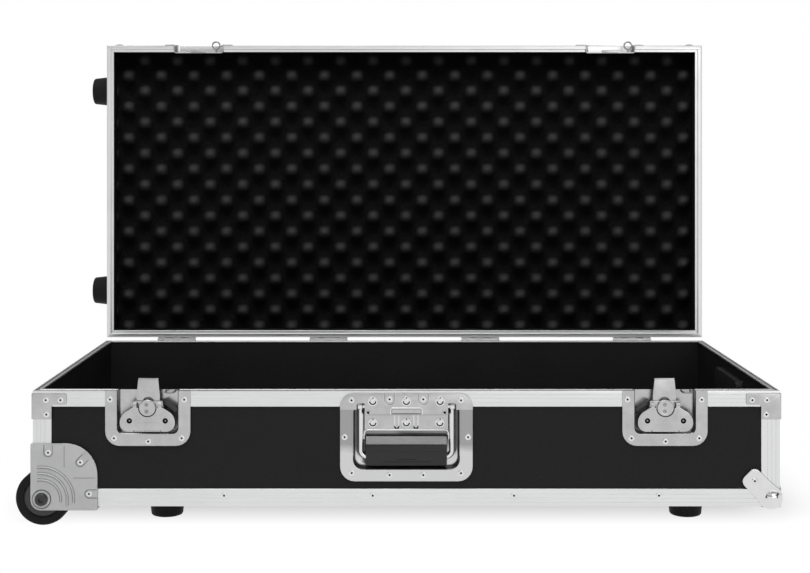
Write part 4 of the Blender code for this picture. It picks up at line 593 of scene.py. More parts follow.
def cut(bm, cutter, operation="DIFFERENCE"):
    """Cuts one shape out of another, or joins them, with a Boolean modifier."""
    items = []
    for name, shape in (("body", bm), ("tool", cutter)):
        bmesh.ops.recalc_face_normals(shape, faces=shape.faces)
        mesh = bpy.data.meshes.new(name)
        shape.to_mesh(mesh)
        shape.free()
        items.append(bpy.data.objects.new(name, mesh))
        bpy.context.scene.collection.objects.link(items[-1])
    modifier = items[0].modifiers.new("cut", "BOOLEAN")
    modifier.operation = operation
    modifier.solver = "EXACT"
    modifier.object = items[1]
    mesh = bpy.data.meshes.new_from_object(items[0].evaluated_get(bpy.context.evaluated_depsgraph_get()))
    result = bmesh.new()
    result.from_mesh(mesh)
    for item in items:
        data = item.data
        bpy.data.objects.remove(item)
        bpy.data.meshes.remove(data)
    bpy.data.meshes.remove(mesh)
    return result


def moved(bm, matrix):
    """Moves a whole shape."""
    bmesh.ops.transform(bm, matrix=matrix, verts=bm.verts)
    return bm


def shaded(bm, material=3):
    """Gives every face of a shape one finish."""
    for face in bm.faces:
        face.material_index = material
    return bm


def block(low, high):
    """Box between two corners, used only as a cutting tool."""
    bm = bmesh.new()
    middle = (Vector(low) + Vector(high)) / 2
    size = Vector(high) - Vector(low)
    bmesh.ops.create_cube(bm, size=1, matrix=Matrix.Translation(middle) @ Matrix.Diagonal((*size, 1)))
    return bm


# %% Finishing a piece
def keep(shape):
    """Turns a shape into a template mesh that can be placed many times."""
    mesh = bpy.data.meshes.new("template")
    shape.to_mesh(mesh)
    shape.free()
    return mesh


def put(bm, template, place):
    """Adds a copy of a template mesh at a place."""
    copy = template.copy()
    copy.transform(place)
    bm.from_mesh(copy)
    bpy.data.meshes.remove(copy)


def finish_piece(name, bm, finishes, body, nodes=(), place=CASE, sharp=32):
    """Puts a shape in its place, gives it its finishes and hands it to the frame."""
    bmesh.ops.transform(bm, matrix=place, verts=bm.verts)
    bmesh.ops.remove_doubles(bm, verts=bm.verts, dist=WELD)
    bmesh.ops.recalc_face_normals(bm, faces=bm.faces)
    mesh = bpy.data.meshes.new(name)
    bm.to_mesh(mesh)
    bm.free()
    for finish in finishes:
        mesh.materials.append(finish)
    mesh.shade_smooth()
    mesh.set_sharp_from_angle(angle=math.radians(sharp))
    piece = bpy.data.objects.new(name, mesh)
    bpy.context.scene.collection.objects.link(piece)
    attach(piece, body)
    if nodes:
        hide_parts(*nodes)
    print(name, len(mesh.polygons), "faces")
    return piece


# %% [markdown]
# ## Rivets
# Every fitting is held by blind rivets. Their heads are low domes with a pinhole where the mandrel
# broke off, and that dark dot in a bright ring is what the eye reads as a rivet. The pinhole is only a
# shallow dip whose floor is painted shade. Each is a few dozen faces, because there are more than a
# hundred.

# %% Rivet templates
HOLE = 2
RIVET_RADIUS = 3.5 * MM
PINHOLE = 1.25 * MM


def rivet_part(middle):
    """Material number of a rivet's faces: the pinhole's floor is painted shade, the head is bright."""
    return HOLE if math.hypot(middle.x, middle.y) < PINHOLE * 0.98 else 1


rivet = keep(turned([
    (RIVET_RADIUS, -0.25 * MM), (RIVET_RADIUS, 0.22 * MM), (RIVET_RADIUS * 0.9, 0.52 * MM),
    (RIVET_RADIUS * 0.75, 0.68 * MM), (RIVET_RADIUS * 0.5, 0.74 * MM), (PINHOLE, 0.74 * MM),
    (PINHOLE * 0.95, 0.7 * MM), (0, 0.7 * MM),
], 18, rivet_part))
washer = keep(turned([
    (5.5 * MM, -0.2 * MM), (5.5 * MM, 0.5 * MM), (5.2 * MM, 0.7 * MM), (4.4 * MM, 0.7 * MM), (3.4 * MM, 0.35 * MM),
], 24))


def rivet_at(bm, x, z, front=0.0, turn=FACE_ON, under=Matrix.Identity(4)):
    """Adds a rivet head on a face at a height in front of it."""
    put(bm, rivet, under @ Matrix.Translation((x, -front, z)) @ turn)


# %% [markdown]
# ## Aluminium edges
# Each edge is an extrusion: one section along its whole length, with fine grooves on its outer face
# and rounded outer corners. A bar extrudes its section's face, and slanting its two ends makes the
# mitres. Each bar carries its own map, so the drawn lines follow it round every corner.

# %% Bars with a section
GROOVE = 0.22 * MM
GROOVE_LEVELS = (4.6 * MM, 9.4 * MM, 14.2 * MM)
MITRE_GAP = 0.12 * MM


def grooved_face(height, step):
    """Section points down an outer face, with a small groove at each level that fits."""
    points = [(0.55 * MM, 0), (0.16 * MM, -0.16 * MM * step), (0, -0.55 * MM * step)]
    for level in GROOVE_LEVELS:
        if level < height - 2 * MM:
            points += [(0, -(level - GROOVE) * step), (GROOVE, -level * step), (0, -(level + GROOVE) * step)]
    return points + [(0, -(height - 0.3 * MM) * step), (0.3 * MM, -height * step)]


def bar(section, start, end, start_mitre=0, end_mitre=0):
    """Bar along x; a mitre of 1 slants an end back by its depth into the case."""
    bm = bmesh.new()
    face = bm.faces.new([bm.verts.new((start + start_mitre * (y + MITRE_GAP), y, z)) for y, z in section])
    made = bmesh.ops.extrude_face_region(bm, geom=[face])["geom"]
    for item in made:
        if isinstance(item, bmesh.types.BMVert):
            item.co.x = end - end_mitre * (item.co.y + MITRE_GAP)
    run = bm.loops.layers.uv.new("run")
    for face in bm.faces:
        for loop in face.loops:
            place = loop.vert.co
            loop[run].uv = (place.x, place.y + 1.37 * place.z)
    return bm


EDGE_WALL = 1.2 * MM
RIM_WIDTH, RIM_LEG, INNER_LIP = 9.5 * MM, 18.8 * MM, 0.05 * MM
TONGUE_WIDTH, TONGUE_ROOM, TONGUE_SHOWN = 3 * MM, 0.8 * MM, 0.35 * MM
CHANNEL_NEAR, CHANNEL_FAR, CHANNEL_DEPTH = 2.4 * MM, 4.4 * MM, 0.9 * MM
BOTTOM_LEG, POST_LEG = 20.3 * MM, 21.6 * MM
wall_inner = RIM_WIDTH - EDGE_WALL
tongue_side = RIM_WIDTH - TONGUE_WIDTH
base_rim_section = [
    *grooved_face(RIM_LEG, 1), (EDGE_WALL, -RIM_LEG), (EDGE_WALL, -EDGE_WALL), (wall_inner, -EDGE_WALL),
    (wall_inner, -EDGE_WALL - INNER_LIP), (RIM_WIDTH, -EDGE_WALL - INNER_LIP), (RIM_WIDTH, TONGUE_SHOWN - 0.3 * MM),
    (RIM_WIDTH - 0.3 * MM, TONGUE_SHOWN), (tongue_side + 0.3 * MM, TONGUE_SHOWN), (tongue_side, TONGUE_SHOWN - 0.3 * MM),
    (tongue_side, 0), (CHANNEL_FAR, 0), (CHANNEL_FAR, -CHANNEL_DEPTH), (CHANNEL_NEAR, -CHANNEL_DEPTH),
    (CHANNEL_NEAR, 0),
]
rebate = TONGUE + TONGUE_ROOM
web = rebate + EDGE_WALL
rebate_side = tongue_side - TONGUE_ROOM
lid_rim_section = [
    *grooved_face(RIM_LEG, -1), (EDGE_WALL, RIM_LEG), (EDGE_WALL, web), (wall_inner, web),
    (wall_inner, web + INNER_LIP), (RIM_WIDTH, web + INNER_LIP), (RIM_WIDTH, rebate + 0.3 * MM),
    (RIM_WIDTH - 0.3 * MM, rebate), (rebate_side, rebate), (rebate_side, 0.3 * MM), (rebate_side - 0.3 * MM, 0),
]
angle_section = [
    *[(y, -z) for y, z in grooved_face(BOTTOM_LEG, 1)], (EDGE_WALL, BOTTOM_LEG), (EDGE_WALL, EDGE_WALL),
    (BOTTOM_LEG, EDGE_WALL), (BOTTOM_LEG, 0),
]
top_section = [(y, -z) for y, z in angle_section]

# %% Base rim and its posts
LATCH_X = 300 * MM
WINDOW_HALF = 36.1 * MM
HANDLE_WINDOW = ((-62.5 * MM, -1, -92.1 * MM), (62.5 * MM, 1, -12.9 * MM))
AXES_UP = Matrix(((0, 1, 0, 0), (0, 0, 1, 0), (1, 0, 0, 0), (0, 0, 0, 1)))
rim_end = HALF_WIDTH - LATCH_X - WINDOW_HALF


def rim_round(section, z, right_window=False):
    """Rim round the sides and back, and its two short ends up to the latches."""
    bm = bmesh.new()
    outer = LATCH_X + WINDOW_HALF
    side = bar(section, -DEPTH / 2, DEPTH / 2, 1, 1)
    if right_window:
        side = cut(side, block(*HANDLE_WINDOW))
    join(bm, side, side_place(1, z))
    join(bm, bar(section, -HALF_WIDTH, HALF_WIDTH, 1, 1), side_place(2, z))
    join(bm, bar(section, -DEPTH / 2, DEPTH / 2, 1, 1), side_place(3, z))
    join(bm, bar(section, -HALF_WIDTH, -outer, 1, 0), side_place(0, z))
    join(bm, bar(section, outer, HALF_WIDTH, 0, 1), side_place(0, z))
    return bm


def post(index, low, high):
    """Corner post: an angle whose two outer faces have the edge's grooves."""
    leg = [(y, -z) for y, z in grooved_face(POST_LEG, 1)][1:]
    other = [(z, y) for y, z in reversed(leg)]
    section = [*other, *leg, (EDGE_WALL, POST_LEG), (EDGE_WALL, EDGE_WALL), (POST_LEG, EDGE_WALL)]
    bm = bar(section, low, high)
    bmesh.ops.transform(bm, matrix=corner_place(index, 0) @ AXES_UP, verts=bm.verts)
    return bm


def shade_rim_tops(bm):
    """Paints shade on a rim's top faces with a greyer finish, the side rims' the greyest."""
    bm.normal_update()
    for face in bm.faces:
        if face.normal.z > 0.9:
            face.material_index = 2 if abs(face.calc_center_median().x) > HALF_WIDTH - 10 * MM else 1


HOUSING_TOP = GROUND + 46 * MM
rim = rim_round(base_rim_section, RIM_Z, True)
shade_rim_tops(rim)
for index in (0, 3):
    join(rim, post(index, HOUSING_TOP, RIM_Z - RIM_LEG - GAP))
finish_piece("base_rim_edging", rim, [edging, plated, grey_zinc_and_shade], "base", ["base_rim_frame"])
front_bar = bar(base_rim_section, WINDOW_HALF - LATCH_X, LATCH_X - WINDOW_HALF)
front_bar = cut(front_bar, block(*HANDLE_WINDOW))
bmesh.ops.transform(front_bar, matrix=side_place(0, RIM_Z), verts=front_bar.verts)
shade_rim_tops(front_bar)
finish_piece("base_rim_front_edging", front_bar, [edging, plated], "base", ["base_rim_front"])

# %% Lower edges and their posts
HOUSING_X, HOUSING_Y = 47.9 * MM, 30.7 * MM
RIVET_SHARES = ((-0.244, -0.045, 0.144, 0.338), (-0.2, 0.2), (-0.244, -0.045, 0.144, 0.338), (-0.2, 0.2))
RIVET_RISE = 0.62
SIDE_LENGTHS = (2 * HALF_WIDTH, DEPTH, 2 * HALF_WIDTH, DEPTH)
EDGE_FINISHES = [edging, bright_rivet_and_highlight, shadow_hole]


def edge_rivets(bm, index, z):
    """Rivets along one side's edge."""
    for share in RIVET_SHARES[index]:
        rivet_at(bm, SIDE_LENGTHS[index] * share, 0, under=side_place(index, z))


lower = bmesh.new()
join(lower, bar(angle_section, HOUSING_X - HALF_WIDTH, HALF_WIDTH, 0, 1), side_place(0, GROUND))
join(lower, bar(angle_section, -DEPTH / 2, DEPTH / 2, 1, 1), side_place(1, GROUND))
join(lower, bar(angle_section, -HALF_WIDTH, HALF_WIDTH - HOUSING_X, 1, 0), side_place(2, GROUND))
for index in (1, 2):
    join(lower, post(index, GROUND + BOTTOM_LEG, RIM_Z - RIM_LEG - GAP))
for index in (0, 1, 2):
    edge_rivets(lower, index, GROUND + BOTTOM_LEG * RIVET_RISE)
finish_piece("base_lower_edging", lower, EDGE_FINISHES, "base", ["base_lower_frame"])
lower_left = bmesh.new()
join(lower_left, bar(angle_section, HOUSING_Y - DEPTH / 2, DEPTH / 2 - HOUSING_Y), side_place(3, GROUND))
edge_rivets(lower_left, 3, GROUND + BOTTOM_LEG * RIVET_RISE)
finish_piece("base_lower_left_edging", lower_left, EDGE_FINISHES, "base", ["base_lower_edge_left"])

# %% Lid edges and posts
lid_rim = rim_round(lid_rim_section, LID_RIM_Z)
finish_piece("lid_rim_edging", lid_rim, [edging], "lid", ["lid_rim_frame"], LID)
lid_front = bar(lid_rim_section, WINDOW_HALF - LATCH_X, LATCH_X - WINDOW_HALF)
bmesh.ops.transform(lid_front, matrix=side_place(0, LID_RIM_Z), verts=lid_front.verts)
finish_piece("lid_rim_front_edging", lid_front, [edging], "lid", ["lid_rim_front"], LID)
lid_top = bmesh.new()
for index in range(4):
    half = SIDE_LENGTHS[index] / 2
    join(lid_top, bar(top_section, -half, half, 1, 1), side_place(index, LID_TOP_Z))
    join(lid_top, post(index, LID_RIM_Z + RIM_LEG + GAP, LID_TOP_Z - BOTTOM_LEG))
    if index != 3:
        edge_rivets(lid_top, index, LID_TOP_Z - BOTTOM_LEG * RIVET_RISE)
finish_piece("lid_top_edging", lid_top, EDGE_FINISHES, "lid", ["lid_top_frame"], LID)

# %% [markdown]
# ## Panels and hinges
# The panels' shapes are right as the CAD has them, so they keep their meshes and only take the
# laminate. The hinges behind the rim keep theirs too, in plated steel, and bright rivet heads cover
# the CAD's plain ones.

# %% Panels and hinges
for node_name, item in frame["nodes"].items():
    if node_name.endswith("_panel") or node_name == "lid_wall_frame":
        item.material_slots[0].material = laminate
    if node_name.startswith("hinge_"):
        item.material_slots[0].material = plated
HINGE_END, HINGE_RIVET_SIDE, HINGE_RIVET_DROP = 102 * MM, 17.6 * MM, 20 * MM
HINGE_FACE = GAP + 1.35 * MM
for body, place, z in (("base", CASE, -HINGE_RIVET_DROP), ("lid", LID, HINGE_RIVET_DROP)):
    bm = bmesh.new()
    for share in (-1, -1 / 3, 1 / 3, 1):
        for side in (-1, 1):
            rivet_at(bm, (HALF_WIDTH - HINGE_END) * share + HINGE_RIVET_SIDE * side, z, HINGE_FACE,
                     FACE_ON @ Matrix.Scale(1.06, 4), side_place(2, RIM_Z))
    finish_piece(f"hinge_rivets_{body}", bm, [plated, bright_rivet_and_highlight, shadow_hole], body, place=place)

# %% [markdown]
# ## Egg-crate foam
# The lid's lining is convoluted foam: a machine squeezes a slab between knobbed rollers and slices
# it, which leaves rows of soft peaks, each row shifted by half a peak. A grid with a product of two
# cosines as its height gives that pattern, because its high points alternate like the squares of a
# chess board. The peaks are narrowed and the saddles lowered a little by a power.

# %% Foam
foam_low, foam_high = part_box("lid_foam")
FOAM_COLUMNS, FOAM_ROWS, FOAM_STEPS = 36, 18, 8
WAVES_ACROSS, WAVES_UP = 35.23, 17.6
FOAM_BACKING, FOAM_PEAK, FOAM_SKIN = 10 * MM, 18 * MM, 0.8 * MM
foam_width = foam_high.x - foam_low.x
foam_height = foam_high.z - foam_low.z
foam_back = foam_high.y
foam_middle = Vector(((foam_low.x + foam_high.x) / 2, 0, (foam_low.z + foam_high.z) / 2))

bm = bmesh.new()
bmesh.ops.create_grid(bm, x_segments=FOAM_COLUMNS * FOAM_STEPS, y_segments=FOAM_ROWS * FOAM_STEPS, size=0.5)
for point in bm.verts:
    across, up = point.co.x + 0.5, point.co.y + 0.5
    wave = math.cos(math.pi * (across - 0.5) * WAVES_ACROSS - 0.314) * math.cos(math.pi * (up - 0.5) * WAVES_UP - 1.1)
    peak = ((1 + wave) / 2) ** 1.4
    point.co = (foam_middle.x + (across - 0.5) * foam_width, foam_back - FOAM_BACKING - FOAM_SKIN * (1 - peak)
                - FOAM_PEAK * peak, foam_middle.z + (up - 0.5) * foam_height)
edge = [item for item in bm.edges if item.is_boundary]
skirt = bmesh.ops.extrude_edge_only(bm, edges=edge)["geom"]
for item in skirt:
    if isinstance(item, bmesh.types.BMVert):
        item.co.y = foam_back
bmesh.ops.contextual_create(bm, geom=[item for item in skirt if isinstance(item, bmesh.types.BMEdge)
                                      and item.is_boundary])
foam = finish_piece("egg_crate_foam", bm, [foam_finish], "lid", ["lid_foam"], Matrix.Identity(4), 60)

# %% [markdown]
# ## Corner braces
# A brace is an L-shaped sheet bent round the corner post. Each arm is half of it: the sheet is
# mitred on the fold, mirrored to the other face and welded, and the fold is then rounded.

# %% Corner braces
BRACE_FACE = 1.5 * MM
BRACE_TOP, BRACE_ARM, ARM_FOOT = 3.2 * MM, 39.2 * MM, 16.3 * MM
BRACE_POST, BRACE_DROP, BRACE_ROUND = 22.1 * MM, 33.2 * MM, 2 * MM
BRACE_RIVETS = ((15.5 * MM, 10.8 * MM), (32.5 * MM, 10.8 * MM), (16.2 * MM, 27.5 * MM))
SWAP = Matrix(((0, 1, 0, 0), (1, 0, 0, 0), (0, 0, 1, 0), (0, 0, 0, 1)))
FITTING_FINISHES = [plated, bright_rivet_and_highlight, shadow_hole]


def bent_pair(half, fold_round):
    """Mirrors a sheet to the other face of a corner, welds the two and rounds the fold."""
    for point in half.verts:
        if point.co.x < -GAP * 0.9:
            point.co.x = point.co.y
    inside = [face for face in half.faces if all(abs(point.co.x - point.co.y) < WELD for point in face.verts)]
    bmesh.ops.delete(half, geom=inside, context="FACES_ONLY")
    bm = half.copy()
    join(bm, half, SWAP)
    bmesh.ops.remove_doubles(bm, verts=bm.verts, dist=WELD)
    fold = [
        item for item in bm.edges
        if all(abs(point.co.x - point.co.y) < WELD and point.co.x < -GAP * 1.5 for point in item.verts)
    ]
    bmesh.ops.recalc_face_normals(bm, faces=bm.faces)
    bmesh.ops.bevel(bm, geom=fold, offset=fold_round, segments=4, profile=0.5, affect="EDGES", material=-1)
    return bm


def corner_brace():
    """Brace in the frame of a corner at the rim's height, with its six rivets."""
    corners = [
        (-BRACE_FACE, -BRACE_DROP, 0), (BRACE_POST, -BRACE_DROP, BRACE_ROUND), (BRACE_POST, -ARM_FOOT, BRACE_ROUND),
        (BRACE_ARM, -ARM_FOOT, BRACE_ROUND), (BRACE_ARM, -BRACE_TOP, BRACE_ROUND), (-BRACE_FACE, -BRACE_TOP, 0),
    ]
    bm = bent_pair(plate(corners, GAP, BRACE_FACE, 0.35 * MM, 4), 1.4 * MM)
    for x, drop in BRACE_RIVETS:
        rivet_at(bm, x, -drop, BRACE_FACE)
        rivet_at(bm, x, -drop, BRACE_FACE, under=SWAP)
    return bm


BRACE_NODES = (["corner_brace_front_left"], ["corner_brace_front_right"], [], [])
for index, (side, nodes) in enumerate(zip(("front_left", "front_right", "back_right", "back_left"), BRACE_NODES)):
    place = CASE @ corner_place(index, RIM_Z)
    finish_piece(f"corner_brace_{side}_sheet", corner_brace(), FITTING_FINISHES, "base", nodes, place)

# %% [markdown]
# ## Ball corners
# A ball corner is drawn from one disc of sheet: a ball over the point of the case and a finger on
# each of the three faces. The parts are first laid over each other, then a voxel remesh melts them
# into one skin, and smoothing gives the soft hollows between ball and fingers that drawing leaves.
# What lies inside the case's corner is cut away before, so that the skin only sits on the faces.

# %% Ball corner template
BALL_RADIUS, BALL_INSET, BALL_SKIN = 14 * MM, 8.5 * MM, 1.2 * MM
FINGER_LENGTH, FINGER_HALF, FINGER_ROUND = 54 * MM, 12.5 * MM, 8 * MM
FINGER_SKIRT, FINGER_RIVET = 19 * MM, 42 * MM
VOXEL = 0.55 * MM
face_turns = [Matrix.Identity(4), Matrix(((0, 0, 1, 0), (1, 0, 0, 0), (0, 1, 0, 0), (0, 0, 0, 1))), AXES_UP]


def finger_corners():
    """A finger along the diagonal of a face, widening to a skirt along both folds."""
    fold = -GAP - BALL_SKIN
    cosine = math.sqrt(0.5)
    tip = [
        (FINGER_LENGTH * 0.55, FINGER_HALF, 10 * MM), (FINGER_LENGTH, FINGER_HALF, FINGER_ROUND),
        (FINGER_LENGTH, -FINGER_HALF, FINGER_ROUND), (FINGER_LENGTH * 0.55, -FINGER_HALF, 10 * MM),
    ]
    finger = [(cosine * (along - side), cosine * (along + side), radius) for along, side, radius in tip]
    return [(fold, fold, 0), (fold, FINGER_SKIRT, 0), *finger, (FINGER_SKIRT, fold, 0)]


def remeshed(bm, size, rounds, factor=0.5):
    """Melts overlapping shapes into one skin of small faces, then smooths it."""
    mesh = bpy.data.meshes.new("melt")
    bm.to_mesh(mesh)
    bm.free()
    item = bpy.data.objects.new("melt", mesh)
    bpy.context.scene.collection.objects.link(item)
    melt = item.modifiers.new("melt", "REMESH")
    melt.mode = "VOXEL"
    melt.voxel_size = size
    smooth = item.modifiers.new("smooth", "SMOOTH")
    smooth.factor = factor
    smooth.iterations = rounds
    result = bmesh.new()
    done = bpy.data.meshes.new_from_object(item.evaluated_get(bpy.context.evaluated_depsgraph_get()))
    result.from_mesh(done)
    bpy.data.objects.remove(item)
    bpy.data.meshes.remove(mesh)
    bpy.data.meshes.remove(done)
    return result


def ball_corner():
    """Skin of a ball corner on the corner of a case whose faces are at 0, with its three rivets."""
    bm = bmesh.new()
    inset = (BALL_INSET, BALL_INSET, BALL_INSET)
    bmesh.ops.create_icosphere(bm, subdivisions=5, radius=BALL_RADIUS, matrix=Matrix.Translation(inset))
    for turn in face_turns:
        finger = plate(finger_corners(), GAP, GAP + BALL_SKIN, 0.3 * MM, 5)
        bm = cut(bm, moved(finger, turn), "UNION")
    reach = FINGER_LENGTH * 2
    bm = cut(bm, block((-GAP, -GAP, -GAP), (reach, reach, reach)))
    bm = remeshed(bm, VOXEL, 8)
    rivet_along = FINGER_RIVET * math.sqrt(0.5)
    for turn in face_turns:
        put(bm, rivet, turn @ Matrix.Translation((rivet_along, -GAP - BALL_SKIN, rivet_along)) @ FACE_ON)
    return bm


ball = keep(ball_corner())
print("ball corner", len(ball.polygons), "faces")

# %% Ball corners in place
UPSIDE = Matrix.Diagonal((1, 1, -1, 1))
BALL_FINISHES = [chrome, bright_rivet_and_highlight, shadow_hole]
ball_places = {
    "base_ball_corner_front_right": ("base", CASE @ corner_place(1, GROUND)),
    "base_ball_corner_back_right": ("base", CASE @ corner_place(2, GROUND)),
    "lid_ball_corner_front_left": ("lid", LID @ corner_place(0, LID_TOP_Z) @ UPSIDE),
    "lid_ball_corner_front_right": ("lid", LID @ corner_place(1, LID_TOP_Z) @ UPSIDE),
    "lid_ball_corner_back_right": ("lid", LID @ corner_place(2, LID_TOP_Z) @ UPSIDE),
    "lid_ball_corner_back_left": ("lid", LID @ corner_place(3, LID_TOP_Z) @ UPSIDE),
}
for node_name, (body, place) in ball_places.items():
    bm = bmesh.new()
    bm.from_mesh(ball)
    finish_piece(node_name + "_skin", bm, BALL_FINISHES, body, [node_name], place, 50)

# %% [markdown]
# ## Butterfly latches
# A latch is a stack: a pressed dish let into the rim, a flat hook, a turning drive with its knob and
# the butterfly wing that turns it. The dish is skinned from its rim over a rolled lip into the cup,
# then given its thickness and cut off level with the case's rim. The cup's walls take a darker zinc,
# which paints shade on them. Each moving part is its own piece, so it can follow its joint.

# %% Latch dish
DISH_HALF, DISH_DROP, DISH_ROUND = 49.5 * MM, 64.2 * MM, 17 * MM
CUP_HALF, CUP_DROP, CUP_ROUND, CUP_DEPTH = 34.8 * MM, 49.2 * MM, 6 * MM, 10 * MM
DISH_FACE, DISH_WALL = 1.3 * MM, 1 * MM
ABOVE = 30 * MM
SHADED, ZINC_AND_SHADE = 2, 3
DISH_FINISHES = [plated, bright_rivet_and_highlight, shadow_hole, grey_zinc_and_shade]
LATCH_RIVETS = (
    (-43.6 * MM, -10.1 * MM), (42.4 * MM, -10.3 * MM), (-39 * MM, -55 * MM), (0.6 * MM, -58.8 * MM),
    (39.5 * MM, -55 * MM),
)
LATCHES = {"left": -LATCH_X, "right": LATCH_X}


def recessed_dish(rim, cup, face, depth, thickness, lip, top=None):
    """Dish with a rolled lip round its cup; rim and cup are (half width, bottom, top, radius)."""
    def stage(base, grow, y):
        half, bottom, high, radius = base
        return ring_corners(half + grow, bottom - grow, high + grow, max(radius + grow, 1 * MM)), y

    fillet = 1.6 * MM
    sections = [
        stage(rim, 0, -face + 0.35 * MM), stage(rim, -0.35 * MM, -face), stage(cup, 2.8 * MM, -face),
        stage(cup, 1.9 * MM, -face - lip), stage(cup, 1 * MM, -face - lip * 0.7), stage(cup, 0.2 * MM, -face + 0.8 * MM),
        stage(cup, 0, 0.9 * MM), stage(cup, 0, depth - fillet), stage(cup, -0.5 * MM, depth - fillet * 0.3),
        stage(cup, -fillet, depth),
    ]
    bm = pressed(sections, 6, thickness, top)
    # The cup's walls take the darker zinc as painted shade.
    for face_made in bm.faces:
        y = face_made.calc_center_median().y
        if 0.5 * MM < y < depth - 0.2 * MM:
            face_made.material_index = ZINC_AND_SHADE
    return bm


for side, x in LATCHES.items():
    bm = recessed_dish((DISH_HALF, -DISH_DROP, ABOVE, DISH_ROUND), (CUP_HALF, -CUP_DROP, ABOVE, CUP_ROUND),
                       DISH_FACE, CUP_DEPTH, DISH_WALL, 0.45 * MM, top=-GAP)
    for place_x, place_z in LATCH_RIVETS:
        rivet_at(bm, place_x, place_z, DISH_FACE)
    place = CASE @ Matrix.Translation((x, 0, RIM_Z))
    finish_piece(f"latch_dish_{side}_pressing", bm, DISH_FINISHES, "base", [f"latch_dish_{side}"],
                 place)

# %% Padlock eyes and spring detents
EYE_X, EYE_REACH, EYE_WIRE = 25.5 * MM, 5.3 * MM, 1.1 * MM
DETENT = ((17.5 * MM, -12.5 * MM), (33 * MM, -24 * MM))
DETENT_HALF, DETENT_DEPTH = 3.5 * MM, 3 * MM


def padlock_eye(z, whole=False):
    """Wire loop that reaches out of the cup's floor, level at a height, or a whole ring on a stem."""
    leg = CUP_DEPTH + DISH_WALL / 2
    if whole:
        ring = [(EYE_X + x, y, z) for x, _, y in arc_points(EYE_REACH, 90, 450, 32)]
        return wire([(EYE_X, leg, z), *ring], EYE_WIRE, rounds=3)
    loop = [(EYE_X + x, y, z) for x, _, y in arc_points(EYE_REACH, 180, 360, 16)]
    return wire([(EYE_X - EYE_REACH, leg, z), *loop, (EYE_X + EYE_REACH, leg, z)], EYE_WIRE, rounds=3)


for side, x in LATCHES.items():
    place = CASE @ Matrix.Translation((x, 0, RIM_Z))
    finish_piece(f"latch_eye_{side}", padlock_eye(-GAP - 1.2 * MM), [grey_zinc_and_shade], "base", place=place)
    mirror = -1 if x > 0 else 1
    start, end = (Vector((mirror * a, b)) for a, b in DETENT)
    across = (end - start).orthogonal().normalized() * DETENT_HALF
    strip = [(point.x, point.y, 0.8 * MM) for point in (start + across, end + across, end - across, start - across)]
    bm = plate([(max(-CUP_HALF, min(CUP_HALF, a)), b, r) for a, b, r in strip], -CUP_DEPTH, -DETENT_DEPTH,
               0.6 * MM, 3)
    finish_piece(f"latch_detent_{side}", bm, [black_steel], "base", place=place)

# %% Hook
BOSS_DROP, BOSS_RADIUS, BOSS_HEIGHT = 19.5 * MM, 9.5 * MM, 2.2 * MM
HOOK_FACE, HOOK_SHEET, HOOK_TOP = 2.5 * MM, 1.5 * MM, 12.2 * MM
HOOK_TOP_HALF, HOOK_HALF, HOOK_SHOULDER, HOOK_FOOT = 11.75 * MM, 13.65 * MM, -8 * MM, -30 * MM
SLOT_HALF, SLOT_TOP = 6.5 * MM, -7.6 * MM
for side, x in LATCHES.items():
    corners = [
        (-HOOK_HALF, HOOK_FOOT, 1.5 * MM), (HOOK_HALF, HOOK_FOOT, 1.5 * MM), (HOOK_HALF, HOOK_SHOULDER, 4 * MM),
        (HOOK_TOP_HALF, HOOK_TOP, 1 * MM), (-HOOK_TOP_HALF, HOOK_TOP, 1 * MM), (-HOOK_HALF, HOOK_SHOULDER, 4 * MM),
    ]
    bm = plate(corners, -HOOK_FACE - HOOK_SHEET, -HOOK_FACE, 0.3 * MM)
    slot = [
        (-SLOT_HALF, -BOSS_DROP - SLOT_HALF, 6.4 * MM), (SLOT_HALF, -BOSS_DROP - SLOT_HALF, 6.4 * MM),
        (SLOT_HALF, SLOT_TOP, 6.4 * MM), (-SLOT_HALF, SLOT_TOP, 6.4 * MM),
    ]
    bm = cut(bm, plate(slot, -20 * MM, 20 * MM))
    lip = plate(ring_corners(HOOK_TOP_HALF, -HOOK_FACE - 4 * MM, -HOOK_FACE - 0.5 * MM, 0.6 * MM), 0, HOOK_SHEET,
                0.4 * MM, 3)
    join(bm, lip, Matrix.Translation((0, 0, HOOK_TOP)) @ FACE_ON @ Matrix.Diagonal((1, -1, 1, 1)))
    finish_piece(f"latch_hook_{side}_sheet", bm, [plated, bright_rivet_and_highlight, shadow_hole], f"latch_{side}_hook",
                 [f"latch_hook_{side}"], CASE @ Matrix.Translation((x, 0, RIM_Z)))

